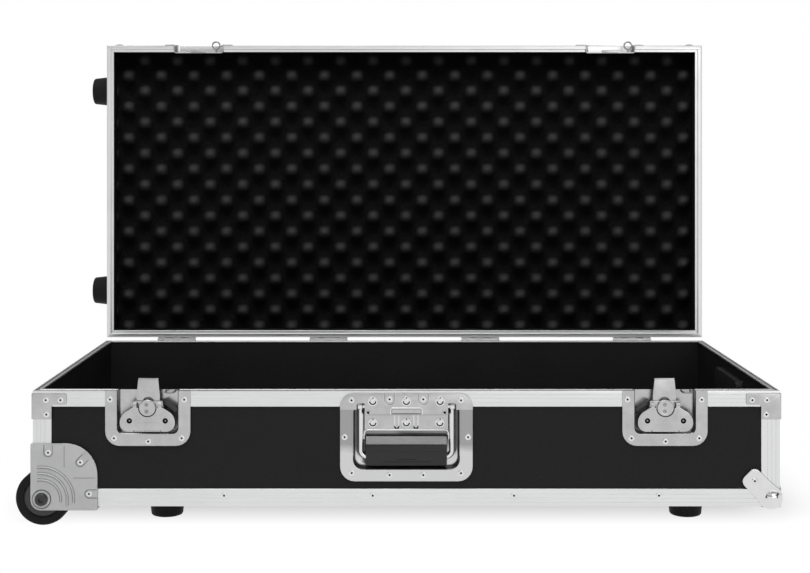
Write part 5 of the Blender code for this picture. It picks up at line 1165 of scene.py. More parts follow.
# %% Turning drive
YOKE_FACE, YOKE_SHEET = -0.6 * MM, 1.2 * MM
WING_AXIS_RISE, WING_AXIS_PROUD = 4.4 * MM, 3.15 * MM
YOKE_HALF, EAR_SHEET, EAR_HALF = 18 * MM, 1.2 * MM, 2.5 * MM
WING_BACK = 2.4 * MM
knob_front = WING_BACK + BOSS_HEIGHT
knob_profile = [
    (0, knob_front - 0.15 * MM), (BOSS_RADIUS * 0.75, knob_front - 0.15 * MM), (BOSS_RADIUS * 0.8, knob_front),
    (BOSS_RADIUS * 0.93, knob_front), (BOSS_RADIUS, knob_front - 0.5 * MM), (BOSS_RADIUS, WING_BACK - 0.6 * MM),
    (6.2 * MM, WING_BACK - 0.6 * MM), (6.2 * MM, -6.6 * MM), (0, -6.6 * MM),
]
for side, x in LATCHES.items():
    bm = turned(knob_profile, 48)
    bmesh.ops.transform(bm, matrix=FACE_ON, verts=bm.verts)
    # The two shallow dimples on the knob are in the darker zinc, as painted shade.
    for mark_z in (3.7 * MM, -4 * MM):
        ring = turned([(2.3 * MM, 0), (2 * MM, 0.2 * MM), (1.5 * MM, 0.2 * MM), (1.2 * MM, 0.02 * MM), (0, 0.02 * MM)],
                      20, lambda middle: ZINC_AND_SHADE)
        join(bm, ring, Matrix.Translation((-0.9 * MM, 0.13 * MM - knob_front, mark_z)) @ FACE_ON)
    join(bm, plate(ring_corners(YOKE_HALF, -6 * MM, 7.4 * MM, 1.5 * MM), YOKE_FACE - YOKE_SHEET, YOKE_FACE, 0.3 * MM))
    # A dark wire round the knob's lower half paints the shadow in the gap below it.
    gap_shadow_ring = wire([(a, -0.9 * MM, b) for a, _, b in arc_points(BOSS_RADIUS + 0.75 * MM, 190, 350, 28)], 0.95 * MM)
    for face in gap_shadow_ring.faces:
        face.material_index = SHADED
    join(bm, gap_shadow_ring)
    for hand in (-1, 1):
        ear = plate([(a, b, 1 * MM) for a, b in ((-EAR_HALF, 1.2 * MM), (EAR_HALF, 1.2 * MM), (EAR_HALF, -5.3 * MM),
                                                 (-EAR_HALF, -5.3 * MM))], -EAR_SHEET / 2, EAR_SHEET / 2, 0.2 * MM, 3)
        turn_ear = Matrix(((0, 1, 0, 0), (0, 0, 1, 0), (1, 0, 0, 0), (0, 0, 0, 1)))
        join(bm, ear, Matrix.Translation((hand * (YOKE_HALF - EAR_SHEET / 2), 0, WING_AXIS_RISE)) @ turn_ear)
        pin = wire([(hand * 13.8 * MM, -WING_AXIS_PROUD, WING_AXIS_RISE), (hand * 18.2 * MM, -WING_AXIS_PROUD,
                                                                           WING_AXIS_RISE)], 1.1 * MM)
        join(bm, pin)
    finish_piece(f"latch_drive_{side}_knob", bm, [plated, bright_rivet_and_highlight, shadow_hole, grey_zinc_and_shade], f"latch_{side}_drive",
                 [f"latch_drive_{side}"], CASE @ Matrix.Translation((x, 0, RIM_Z - BOSS_DROP)))

# %% Butterfly wing
WING_HALF_SHEET, LOBE_X, LOBE_Z, LOBE_ROUND = 0.75 * MM, 21.5 * MM, -21.6 * MM, 10.5 * MM
ARM_OUTER, ARM_INNER, ARM_FOOT_Z = 16.5 * MM, 12.5 * MM, -3.6 * MM
WING_HOLES = ((-20.8 * MM, -19.4 * MM), (20.8 * MM, -19.4 * MM))
WING_HOLE, NOTCH_RADIUS = 3.2 * MM, 10.7 * MM
wing_low = LOBE_Z - LOBE_ROUND
wing_side = LOBE_X + LOBE_ROUND
LIP_HALF, LIP_TICK = 15.6 * MM, 0.45 * MM
for side, x in LATCHES.items():
    corners = [
        (ARM_OUTER, 0, 0), (ARM_OUTER, ARM_FOOT_Z, 0), (wing_side, LOBE_Z + 8.6 * MM, 8 * MM),
        (wing_side, wing_low, LOBE_ROUND * 0.95), (-wing_side, wing_low, LOBE_ROUND * 0.95),
        (-wing_side, LOBE_Z + 8.6 * MM, 8 * MM), (-ARM_OUTER, ARM_FOOT_Z, 0), (-ARM_OUTER, 0, 0),
    ]
    bm = plate(corners, -WING_HALF_SHEET, WING_HALF_SHEET, 0.3 * MM, 8)
    notch = turned([(0, -9 * MM), (NOTCH_RADIUS, -9 * MM), (NOTCH_RADIUS, 9 * MM), (0, 9 * MM)], 48)
    bm = cut(bm, moved(notch, Matrix.Translation((0, 0, -WING_AXIS_RISE)) @ FACE_ON))
    bm = cut(bm, block((-ARM_INNER, -9 * MM, -WING_AXIS_RISE), (ARM_INNER, 9 * MM, 9 * MM)))
    for hand in (-1, 1):
        tick_x = hand * LIP_HALF
        bm = cut(bm, block((tick_x - LIP_TICK, -9 * MM, wing_low - 1 * MM),
                           (tick_x + LIP_TICK, 9 * MM, wing_low + 1.7 * MM)))
    for hole_x, hole_z in WING_HOLES:
        drill = turned([(0, -9 * MM), (WING_HOLE, -9 * MM), (WING_HOLE, 9 * MM), (0, 9 * MM)], 28)
        bm = cut(bm, moved(drill, Matrix.Translation((hole_x, 0, hole_z)) @ FACE_ON))
        # Behind each hole a dark ring paints the shade in it, round a darker-zinc core.
        hole_shade = turned([(WING_HOLE + 0.5 * MM, -0.7 * MM), (WING_HOLE, 0.1 * MM), (WING_HOLE - 0.4 * MM, -0.5 * MM),
                       (1.3 * MM, -0.6 * MM), (0.9 * MM, -0.1 * MM), (0, 0)], 28,
                      lambda middle: SHADED if math.hypot(middle.x, middle.y) > 1.2 * MM else ZINC_AND_SHADE)
        join(bm, hole_shade, Matrix.Translation((hole_x, 0, hole_z)) @ FACE_ON)
    crease = [(-14 * MM, -0.62 * MM, -21.9 * MM), (0, -0.62 * MM, -21.5 * MM), (13 * MM, -0.62 * MM, -21.2 * MM)]
    join(bm, wire(crease, 0.35 * MM))
    roll = [(-LIP_HALF + 0.8 * MM, -0.55 * MM, wing_low + 0.75 * MM), (LIP_HALF - 0.8 * MM, -0.55 * MM,
                                                                      wing_low + 0.75 * MM)]
    join(bm, wire(roll, 0.65 * MM))
    for hand in (-1, 1):
        barrel = [(hand * ARM_INNER, 0, 0), (hand * ARM_OUTER, 0, 0)]
        join(bm, wire(barrel, 2.2 * MM, rounds=4))
    place = CASE @ Matrix.Translation((x, -WING_AXIS_PROUD, RIM_Z - BOSS_DROP + WING_AXIS_RISE))
    finish_piece(f"latch_wing_{side}_sheet", bm, [plated, bright_rivet_and_highlight, shadow_hole, grey_zinc_and_shade], f"latch_{side}_wing",
                 [f"latch_wing_{side}"], place)

# %% [markdown]
# ## Keepers on the lid
# The keeper is the dish's upper half: a shallower pressing with the nose that the hook catches and a
# padlock eye. It is drawn upside down, so that the same dish maker can cut it off at the rim, and
# then mirrored.

# %% Keepers
KEEPER_RISE, KEEPER_CUP = 31 * MM, 17 * MM
KEEPER_RIVETS = ((-42.5 * MM, 10 * MM), (42.5 * MM, 10 * MM), (-30 * MM, 24.5 * MM), (30 * MM, 24.5 * MM))
keeper_low = SEAT_GAP + GAP
for side, x in LATCHES.items():
    bm = recessed_dish((DISH_HALF, -KEEPER_RISE, ABOVE, DISH_ROUND), (CUP_HALF, -KEEPER_CUP, ABOVE, CUP_ROUND),
                       DISH_FACE, CUP_DEPTH, DISH_WALL, 0.45 * MM, top=-keeper_low)
    bmesh.ops.transform(bm, matrix=UPSIDE, verts=bm.verts)
    for place_x, place_z in KEEPER_RIVETS:
        rivet_at(bm, place_x, place_z, DISH_FACE)
    nose = plate(ring_corners(12 * MM, keeper_low, 5 * MM, 0.5 * MM), -CUP_DEPTH - 0.5 * MM, -6.8 * MM, 0.4 * MM, 3)
    join(bm, nose)
    # Level faces near the cup's edge take the bright rivet steel as a painted reflection.
    bm.normal_update()
    for face in bm.faces:
        if abs(face.normal.z) > 0.7 and abs(face.calc_center_median().z - KEEPER_CUP) < 5 * MM:
            face.material_index = 1
    join(bm, shaded(padlock_eye(keeper_low + 1.2 * MM, True), ZINC_AND_SHADE))
    finish_piece(f"latch_keeper_{side}_pressing", bm, DISH_FINISHES, "lid",
                 [f"latch_keeper_{side}"], LID @ Matrix.Translation((x, 0, RIM_Z)))

# %% [markdown]
# ## Spring-loaded handles
# The handle is a stack too: a pressed dish, a folded backplate riveted over its upper half, a bent
# steel rod that swings on the backplate's lugs, and a moulded grip on the rod's lower bar. The dish
# is painted brighter below the swing of the rod as a painted reflection, so its finish blends
# two platings by height with a wavy border. The grip is a smoother vinyl than the feet's rubber; its
# upper slope is painted lighter as a painted highlight.

# %% Handle finishes
# Below this height the dish's nickel is painted brighter, a painted reflection with a wavy border.
PAINTED_REFLECTION_TOP = (CASE @ Vector((0, 0, RIM_Z - 66 * MM))).z
BORDER, WAVE = 5 * MM, 4 * MM
dish_nickel, tree, shader = new_finish("handle_nickel", Metallic=1.0)
place = object_place(tree)
height = shader_node(tree, "ShaderNodeSeparateXYZ", {"Vector": place}).outputs["Z"]
slow = ranged(tree, use_group(tree, cloud_group, place, Scale=18.0), 0, 1, -WAVE, WAVE)
fine = use_group(tree, grain_group, place, Scale=1500.0)
bright = ranged(tree, added(tree, height, slow, 1.0), PAINTED_REFLECTION_TOP + BORDER, PAINTED_REFLECTION_TOP - BORDER)
colour = grey_blend(tree, added(tree, bright, fine, 0.08), (0.34, 0.34, 0.345), (0.62, 0.62, 0.625))
finish_surface(tree, shader, colour, ranged(tree, bright, 0, 1, 0.3, 0.2), fine, 0.008 * MM)
vinyl = dull_finish("grip_vinyl", (0.005, 0.005, 0.005), (0.010, 0.010, 0.010), 0.30, 0.38, 900.0, 0.02 * MM,
                    Specular_IOR_Level=0.4)
# A lighter vinyl, laid on the grip's upper slope as a painted highlight.
vinyl_highlight = dull_finish("grip_vinyl_painted_highlight", (0.15, 0.15, 0.15), (0.21, 0.21, 0.21), 0.4, 0.5, 900.0, 0.03 * MM,
                        Specular_IOR_Level=0.4)

# %% Handle dish and backplate
HANDLE_HALF, HANDLE_TOP, HANDLE_LOW, HANDLE_ROUND = 77 * MM, -2.4 * MM, -105.2 * MM, 17 * MM
HANDLE_CUP_HALF, HANDLE_CUP_TOP, HANDLE_CUP_LOW = 61 * MM, -14.4 * MM, -90.6 * MM
HANDLE_CUP_DEPTH, HANDLE_CUP_ROUND, HANDLE_FACE = 15 * MM, 11 * MM, 1.5 * MM
BACKPLATE_BACK, BACKPLATE_FACE = 1.8 * MM, 2.8 * MM
SEAM, FOLD, SHELF_DEPTH, SHELF_LOW, SHELF_HALF = -22 * MM, -28.3 * MM, 6 * MM, -46.9 * MM, 48.6 * MM
NOTCH_IN, NOTCH_OUT = 48.25 * MM, 57.75 * MM
LOWER_SHARES = ((-0.93, 53.7), (0.929, 53.7), (-0.823, 95.2), (-0.253, 97.6), (0.254, 97.6), (0.822, 95.5))
UPPER_SHARES = ((-0.826, 10.8), (-0.253, 9.6), (0.254, 9.6), (0.822, 10.8))
BIG_RIVETS = [(x, z) for z in (-12 * MM, -38.5 * MM) for x in (-39 * MM, 0, 39 * MM)]
HANDLES = {"front": side_place(0, RIM_Z), "side": side_place(1, RIM_Z)}


def big_rivet():
    """Rivet with a washer under it and a ring on its head; the lower half of the groove between them and a small nick
    at its top are painted shade.
    """
    bm = turned([
        (5.6 * MM, -0.2 * MM), (5.6 * MM, 0.45 * MM), (5.2 * MM, 0.75 * MM), (4.2 * MM, 0.75 * MM),
        (3.5 * MM, 0.25 * MM), (3 * MM, 0.3 * MM), (2.7 * MM, 0.85 * MM), (1.7 * MM, 1.05 * MM),
        (1.2 * MM, 0.75 * MM), (0.5 * MM, 0.75 * MM), (0, 0.7 * MM),
    ], 28, lambda middle: SHADED if 3.1 * MM < math.hypot(middle.x, middle.y) < 4 * MM and middle.y < 0 else 1)
    nick = turned([(0.8 * MM, 0), (0.8 * MM, 0.84 * MM), (0, 0.84 * MM)], 10, lambda middle: SHADED)
    return join_all(bm, (nick, Matrix.Translation((0.3 * MM, 4.2 * MM, 0))))


def join_all(bm, *pairs):
    """Joins several shapes, each with its place."""
    for other, place in pairs:
        join(bm, other, place)
    return bm


washered = keep(big_rivet())


def scallop(x, size):
    """Pressed line that runs down from the plate's top edge, round a rivet and up again."""
    turn = [(x + a, -BACKPLATE_FACE, b - 10.2 * MM) for a, _, b in arc_points(size, 180, 360, 16)]
    edge = -3.2 * MM
    return wire([(x - size, -BACKPLATE_FACE, edge), *turn, (x + size, -BACKPLATE_FACE, edge)], 0.42 * MM)


def rounded_path(points, y, steps=6):
    """Path in the x-z plane whose corners (x, z, radius) are arcs."""
    path = []
    for index, (x, z, radius) in enumerate(points):
        here = Vector((x, y, z))
        if not radius:
            path.append(tuple(here))
            continue
        before, after = (Vector((points[near][0], y, points[near][1])) for near in (index - 1, index + 1))
        first = here + (before - here).normalized() * radius
        second = here + (after - here).normalized() * radius
        middle = first + second - here
        start, end = first - middle, second - middle
        first_way, last_way = start.normalized(), end.normalized()
        path += [tuple(middle + first_way.slerp(last_way, step / steps) * radius) for step in range(steps + 1)]
    return path


def backplate_shape():
    """Folded plate with its shelf, lugs, stamped frame, ribs and rivets; bright wires on it are painted highlights and
    dark ones painted shade.
    """
    right = [(SHELF_HALF, FOLD + 0.6 * MM, 0), (NOTCH_IN, SEAM, 0), (NOTCH_IN, HANDLE_CUP_TOP, 1.5 * MM),
             (NOTCH_OUT, HANDLE_CUP_TOP, 1.5 * MM), (NOTCH_OUT, SEAM, 0), (HANDLE_HALF, SEAM, 0),
             (HANDLE_HALF, HANDLE_TOP, HANDLE_ROUND)]
    left = [(-x, z, radius) for x, z, radius in reversed(right)]
    bm = plate(right + left, BACKPLATE_BACK, BACKPLATE_FACE, 0.25 * MM)
    section = [
        (-BACKPLATE_FACE, FOLD + 1.6 * MM, 0), (-BACKPLATE_FACE, FOLD, 1.5 * MM), (SHELF_DEPTH, FOLD, 0),
        (SHELF_DEPTH, SHELF_LOW, 0), (SHELF_DEPTH + 1 * MM, SHELF_LOW, 0), (SHELF_DEPTH + 1 * MM, FOLD + 1.6 * MM, 0),
    ]
    shelf = plate(section, -SHELF_HALF, SHELF_HALF)
    join(bm, shelf, SWAP)
    floor_plate = plate(ring_corners(SHELF_HALF, SHELF_LOW - 0.5 * MM, SHELF_LOW + 0.5 * MM, 0), -14.5 * MM,
                        -SHELF_DEPTH)
    join(bm, floor_plate)
    # The shelf's rolled lip is a wire in the bright rivet steel, a painted highlight.
    lip_y = SHELF_DEPTH + 0.4 * MM
    lip = rounded_path([(-49.2 * MM, -57.5 * MM, 0), (-49.2 * MM, SHELF_LOW, 4.6 * MM),
                        (49.2 * MM, SHELF_LOW, 4.6 * MM), (49.2 * MM, -57.5 * MM, 0)], lip_y)
    join(bm, shaded(wire(lip, 1.6 * MM, rounds=3), 1))
    # The stamped frame is traced by a bright wire, a painted highlight, with a darker zinc wire just inside it as
    # painted shade.
    for inset, size, tone in ((0, 0.85 * MM, 1), (1.25 * MM, 0.5 * MM, ZINC_AND_SHADE)):
        wide, high = 18.2 * MM - inset, -19.8 * MM - inset
        frame = rounded_path([(-wide, -27.2 * MM, 0), (-wide, high, 1.7 * MM), (wide, high, 1.7 * MM),
                              (wide, -27.2 * MM, 0)], -BACKPLATE_FACE + inset * 0.16)
        join(bm, shaded(wire(frame, size, rounds=3), tone))
    # A dark strip at the frame's foot paints the shadow in the slit there.
    dark = plate(ring_corners(16.6 * MM, -26.9 * MM, -26.1 * MM, 0.2 * MM), BACKPLATE_FACE - 0.3 * MM,
                 BACKPLATE_FACE + 0.05 * MM)
    for face in dark.faces:
        face.material_index = SHADED
    join(bm, dark)
    # Each scallop is a bright wire, a painted highlight, with a darker zinc wire beside it as painted shade.
    for x in (-19.5 * MM, 19.6 * MM):
        join(bm, shaded(scallop(x, 6.6 * MM), 1))
        join(bm, shaded(scallop(x, 5.7 * MM), ZINC_AND_SHADE), Matrix.Translation((0, 0.15 * MM, 0)))
    for hand in (-1, 1):
        # Each finger tab is a bright U of wire, a painted highlight, with a dark crescent below it as painted shadow.
        loop = [(-2.4 * MM, -29.5 * MM, 0), (-2.4 * MM, -42.3 * MM, 2.3 * MM), (2.4 * MM, -42.3 * MM, 2.3 * MM),
                (2.4 * MM, -29.5 * MM, 0)]
        rib = [(x + hand * 11.2 * MM, z, radius) for x, z, radius in loop]
        join(bm, shaded(wire(rounded_path(rib, SHELF_DEPTH), 0.95 * MM, rounds=3), 1))
        shade = plate([(hand * 11.2 * MM + x, z, 0.8 * MM) for x, z in (
            (-3.3 * MM, -41.6 * MM), (0, -44.8 * MM), (3.3 * MM, -41.6 * MM), (2.6 * MM, -45.6 * MM),
            (-2.6 * MM, -45.6 * MM))], -SHELF_DEPTH - 0.3 * MM, -SHELF_DEPTH + 0.06 * MM)
        for face in shade.faces:
            face.material_index = SHADED
        join(bm, shade)
        # The nub's dark middle is painted shade.
        nub = turned([(2.9 * MM, -0.5 * MM), (2.9 * MM, 0.5 * MM), (2.2 * MM, 1 * MM), (1.5 * MM, 0.7 * MM),
                      (1.3 * MM, 0.1 * MM), (0, 0.1 * MM)], 20,
                     lambda middle: SHADED if math.hypot(middle.x, middle.y) < 1.45 * MM else 0)
        join(bm, nub, Matrix.Translation((hand * 44.4 * MM, -BACKPLATE_FACE, -25 * MM)) @ FACE_ON)
        lug = plate([(-2.3 * MM, -23.2 * MM, 0), (9.4 * MM, -23.2 * MM, 2 * MM), (9.4 * MM, -14.7 * MM, 2 * MM),
                     (-2.3 * MM, -14.7 * MM, 0)], -2.5 * MM, 2.5 * MM, 0.3 * MM)
        join(bm, lug, Matrix.Translation((hand * 45.45 * MM, 0, 0)) @ SWAP)
    for share, drop in UPPER_SHARES:
        rivet_at(bm, HANDLE_HALF * share, -drop * MM, BACKPLATE_FACE)
    for x, z in BIG_RIVETS:
        front = BACKPLATE_FACE if z > FOLD else -SHELF_DEPTH
        put(bm, washered, Matrix.Translation((x, -front, z)) @ FACE_ON)
    return bm


LINED = 4


def lined_behind(bm):
    """Gives a cup's back, which is seen inside the case, the lining's black."""
    bmesh.ops.recalc_face_normals(bm, faces=bm.faces)
    for face in bm.faces:
        centre = face.calc_center_median()
        outward = Vector((centre.x, 0, centre.z - (HANDLE_CUP_LOW + HANDLE_CUP_TOP) / 2)).normalized()
        if centre.y > 1 * MM and (face.normal.y > 0.5 or face.normal.dot(outward) > 0.3):
            face.material_index = LINED
    return bm


for side, place in HANDLES.items():
    bm = recessed_dish((HANDLE_HALF, HANDLE_LOW, HANDLE_TOP, HANDLE_ROUND),
                       (HANDLE_CUP_HALF, HANDLE_CUP_LOW, HANDLE_CUP_TOP, HANDLE_CUP_ROUND), HANDLE_FACE,
                       HANDLE_CUP_DEPTH, 1.2 * MM, 0.5 * MM)
    bm = lined_behind(bm)
    for share, drop in LOWER_SHARES:
        rivet_at(bm, HANDLE_HALF * share, -drop * MM, HANDLE_FACE)
    finish_piece(f"handle_dish_{side}_pressing", bm, [dish_nickel, bright_rivet_and_highlight, shadow_hole, grey_zinc_and_shade, laminate], "base",
                 [f"handle_{side}_dish"], CASE @ place)
    nodes = ["handle_front_backplate"] if side == "front" else ["handle_side_dish"]
    finish_piece(f"handle_backplate_{side}_folded", backplate_shape(), DISH_FINISHES, "base",
                 nodes, CASE @ place)

# %% Bail and grip
BAIL_AXIS = (0, 5 * MM, -18.8 * MM)
BAIL_HALF, BAIL_LOW, BAIL_ROD = 53 * MM, -58.7 * MM, 3.25 * MM
GRIP_HALF, GRIP_HIGH, GRIP_LOW = 47 * MM, -33.9 * MM, -69.6 * MM
for side, place in HANDLES.items():
    swing = CASE @ place @ Matrix.Translation(BAIL_AXIS)
    points = [(41.5 * MM, 0, 0), (BAIL_HALF, 0, 4 * MM), (BAIL_HALF, BAIL_LOW, 7.5 * MM), (42 * MM, BAIL_LOW, 0)]
    bm = wire(rounded_path(points, 0, 8), BAIL_ROD, rounds=4)
    for hand_turn in (Matrix.Diagonal((-1, 1, 1, 1)),):
        other = bm.copy()
        join(bm, other, hand_turn)
    for hand in (-1, 1):
        collar = turned([(0, -3.2 * MM), (4.2 * MM, -3.2 * MM), (4.6 * MM, -2.6 * MM), (4.6 * MM, 2.2 * MM),
                         (4 * MM, 3 * MM), (0, 3 * MM)], 24)
        join(bm, collar, Matrix.Translation((hand * 53.6 * MM, -0.8 * MM, 0.3 * MM)) @ Matrix.Rotation(QUARTER, 4, "Y"))
    finish_piece(f"handle_bail_{side}_rod", bm, [chrome], f"handle_{side}", [f"handle_{side}_bail"], swing)
    section = [
        (6.3 * MM, GRIP_HIGH, 2 * MM), (-1 * MM, GRIP_HIGH, 2.6 * MM), (-6.3 * MM, GRIP_HIGH - 9.4 * MM, 3.5 * MM),
        (-6.3 * MM, GRIP_LOW + 0.2 * MM, 4 * MM), (6.3 * MM, GRIP_LOW + 0.2 * MM, 4 * MM),
    ]
    grip = plate(section, -GRIP_HALF, GRIP_HALF, 0.8 * MM)
    soften_rim(grip, GRIP_HALF, 0.8 * MM)
    # The grip's upper slope takes the lighter vinyl as a painted highlight.
    for face in grip.faces:
        middle = face.calc_center_median()
        if middle.x < -1.2 * MM and middle.z > GRIP_HIGH - 9.2 * MM:
            face.material_index = 1
    bm = bmesh.new()
    join(bm, grip, SWAP)
    for low_x, low_z, high_z in ((28 * MM, -64 * MM, -62.9 * MM), (12 * MM, -61 * MM, -60.3 * MM)):
        bm = cut(bm, block((-low_x, -8 * MM, low_z), (low_x, -5.6 * MM, high_z)))
    for level in (-44.6 * MM, -51.8 * MM):
        join(bm, wire([(-GRIP_HALF + 1.5 * MM, -6.15 * MM, level), (GRIP_HALF - 1.5 * MM, -6.15 * MM, level)], 0.45 * MM))
    finish_piece(f"handle_grip_{side}_moulding", bm, [vinyl, vinyl_highlight], f"handle_{side}", [f"handle_{side}_grip"],
                 swing)

# %% [markdown]
# ## Wheels in their corner brackets
# The bracket is a casting, so its plates, housing and boss are united and the wheel's room and the
# pockets round the rivets are cut out with tools of the same kinds of shape, as in a mould. Three
# curved ribs run round the wheel's axle. The wheel's tyre and hub are one spun profile with two
# finishes; its side face has a recess, as a moulded wheel does.

# %% Wheel brackets
BRACKET_LEFT, BRACKET_LOW = -2.2 * MM, -4.2 * MM
BRACKET_RIGHT, BRACKET_HIGH = BRACKET_LEFT + 77.5 * MM, BRACKET_LOW + 77.5 * MM
BRACKET_FACE, BRACKET_DEPTH = 2.8 * MM, 40 * MM
AXLE_X, AXLE_Z = 10.9 * MM, 9 * MM
ROOM_RADIUS, ROOM_START, ROOM_END = 34.2 * MM, 1.4 * MM, 27.2 * MM
BRACKET_RIVETS = ((18.3 * MM, 62.8 * MM, 0), (55.5 * MM, 51.5 * MM, 45), (65.7 * MM, 15 * MM, 90))
RIBS = ((37.1 * MM, 4.9 * MM), (29.6 * MM, 1 * MM), (22.2 * MM, 5.5 * MM))
POCKET_HALF, POCKET_FLOOR = 5.3 * MM, 2 * MM
WHEEL_CORNERS = {
    "front": CASE @ Matrix.Translation((-HALF_WIDTH, 0, GROUND)),
    "back": CASE @ Matrix.Translation((-HALF_WIDTH, DEPTH, GROUND)) @ Matrix.Diagonal((1, -1, 1, 1)),
}


def drum(radius, back, front, steps=48):
    """Cylinder across the bracket between two heights, used as a cutting tool or a boss."""
    bm = turned([(0, back), (radius, back), (radius, front), (0, front)], steps)
    return moved(bm, Matrix.Translation((AXLE_X, 0, AXLE_Z)) @ FACE_ON)


BRACKET_FINISHES = [casting, bright_rivet_and_highlight, shadow_hole, seam_shade]


def bracket_shape():
    """Corner casting with its housing, pockets, ribs and rivets; dark lines round its pockets, in its cut lines, round
    its boss and beside its ribs are painted shade.
    """
    left, right, low, high = BRACKET_LEFT, BRACKET_RIGHT, BRACKET_LOW, BRACKET_HIGH
    bm = plate([(left, low, 12 * MM), (right, low, 2 * MM), (right, high, 37 * MM), (left, high, 2 * MM)], 0.3 * MM,
               BRACKET_FACE, 0.7 * MM, 10)
    wall = [(-1.5 * MM, low + 11.5 * MM, 0), (BRACKET_DEPTH, low + 11.5 * MM, 6 * MM),
            (BRACKET_DEPTH, high - 0.4 * MM, 12 * MM), (-1.5 * MM, high - 0.4 * MM, 0)]
    side = moved(plate(wall, 0.35 * MM, -left, 0.5 * MM), SWAP)
    bm = cut(bm, side, "UNION")
    sole = [(left + 11.5 * MM, -1.5 * MM, 0), (left + 11.5 * MM, BRACKET_DEPTH, 6 * MM),
            (right - 0.4 * MM, BRACKET_DEPTH, 12 * MM), (right - 0.4 * MM, -1.5 * MM, 0)]
    under = moved(plate(sole, 0.35 * MM, -low, 0.5 * MM), FLAT_DOWN)
    bm = cut(bm, under, "UNION")
    housing = plate([(left / 2, low / 2, 0), (47.6 * MM, low / 2, 3 * MM), (47.6 * MM, 45.7 * MM, 8 * MM),
                     (left / 2, 45.7 * MM, 3 * MM)], -30.4 * MM, 1 * MM)
    bm = cut(bm, shaded(housing, 4), "UNION")
    bm = cut(bm, drum(10 * MM, 0, BRACKET_FACE + 1.5 * MM), "UNION")
    bm = cut(bm, drum(ROOM_RADIUS, -ROOM_END, -ROOM_START, 72))
    bm = cut(bm, drum(4.3 * MM, -33 * MM, 9 * MM, 24))
    bm = cut(bm, drum(7.6 * MM, BRACKET_FACE, 9 * MM))
    groove = turned([(10 * MM, -1.2 * MM), (11.2 * MM, -1.2 * MM), (11.2 * MM, 9 * MM), (10 * MM, 9 * MM),
                     (10 * MM, -1.2 * MM)], 48)
    bm = cut(bm, moved(groove, Matrix.Translation((AXLE_X, -BRACKET_FACE, AXLE_Z)) @ FACE_ON))
    # Dark wires and strips in the casting shade paint the shade at the pockets' walls, in the two cut lines, round the
    # boss and beside the ribs.
    shade_marks = []
    for x, z, turn in BRACKET_RIVETS:
        capsule = plate(ring_corners(POCKET_HALF, -POCKET_HALF, 60 * MM, POCKET_HALF * 0.98), POCKET_FLOOR, 9 * MM,
                        steps=8)
        place = Matrix.Translation((x, 0, z)) @ Matrix.Rotation(math.radians(turn), 4, "Y")
        bm = cut(bm, moved(capsule, place))
        reach = POCKET_HALF - 0.25 * MM
        shade_trace = [(-reach, 0, 8.5 * MM), *arc_points(reach, 180, 360, 16), (reach, 0, 8.5 * MM)]
        shade_marks.append(moved(shaded(wire(shade_trace, 0.55 * MM)), place @ Matrix.Translation((0, -POCKET_FLOOR, 0))))
    line = 0.3 * MM
    bm = cut(bm, block((37 * MM - line, -9 * MM, 45.4 * MM), (37 * MM + line, -2.2 * MM, 71 * MM)))
    bm = cut(bm, block((47.6 * MM, -9 * MM, 33.4 * MM - line), (73 * MM, -2.2 * MM, 33.4 * MM + line)))
    for low_line, high_line in (
        ((37 * MM - line, 45.4 * MM), (37 * MM + line, 71 * MM)), ((47.6 * MM, 33.4 * MM - line), (73 * MM, 33.4 * MM + line)),
    ):
        corners = [(low_line[0], low_line[1], 0), (high_line[0], low_line[1], 0), (high_line[0], high_line[1], 0),
                   (low_line[0], high_line[1], 0)]
        shade_marks.append(shaded(plate(corners, 2.1 * MM, 2.45 * MM)))
    ring = [(AXLE_X + a, -BRACKET_FACE + 0.9 * MM, AXLE_Z + b) for a, _, b in arc_points(10.6 * MM, 0, 352.5, 47)]
    shade_marks.append(shaded(wire(ring, 0.55 * MM, cyclic=True)))
    for shade_mark in shade_marks:
        join(bm, shade_mark)
    for radius, foot in RIBS:
        path = [(5.7 * MM, -BRACKET_FACE, AXLE_Z + radius)]
        path += [(AXLE_X + a, -BRACKET_FACE, AXLE_Z + b) for a, _, b in arc_points(radius, 90, 0, 24)]
        path.append((AXLE_X + radius, -BRACKET_FACE, foot))
        join(bm, wire(path, 1.05 * MM, rounds=3), Matrix.Translation((0, -0.15 * MM, 0)))
        for beside in (-1.25 * MM, 1.25 * MM):
            size = radius + beside
            shade_trace = [(5.7 * MM, -BRACKET_FACE, AXLE_Z + size)]
            shade_trace += [(AXLE_X + a, -BRACKET_FACE, AXLE_Z + b) for a, _, b in arc_points(size, 90, 0, 24)]
            shade_trace.append((AXLE_X + size, -BRACKET_FACE, foot))
            join(bm, shaded(wire(shade_trace, 0.4 * MM)), Matrix.Translation((0, 0.18 * MM, 0)))
    for x, z, _ in BRACKET_RIVETS:
        rivet_at(bm, x, z, POCKET_FLOOR)
    return bm


FLAT_DOWN = Matrix(((1, 0, 0, 0), (0, 0, 1, 0), (0, 1, 0, 0), (0, 0, 0, 1)))
for place_name, place in WHEEL_CORNERS.items():
    finish_piece(f"wheel_bracket_{place_name}_casting", bracket_shape(), [*BRACKET_FINISHES, black_steel],
                 "base", [f"wheel_bracket_{place_name}"], place)

# %% Axle bolts and wheels
BOLT_BACK, BOLT_FRONT = 3.1 * MM, 7.6 * MM
WHEEL_RADIUS, WHEEL_HALF, HUB_RADIUS, WHEEL_Y = 32 * MM, 12 * MM, 22.3 * MM, 14.3 * MM


def hub_or_tyre(middle):
    return 1 if math.hypot(middle.x, middle.y) < HUB_RADIUS + 0.1 * MM else 0


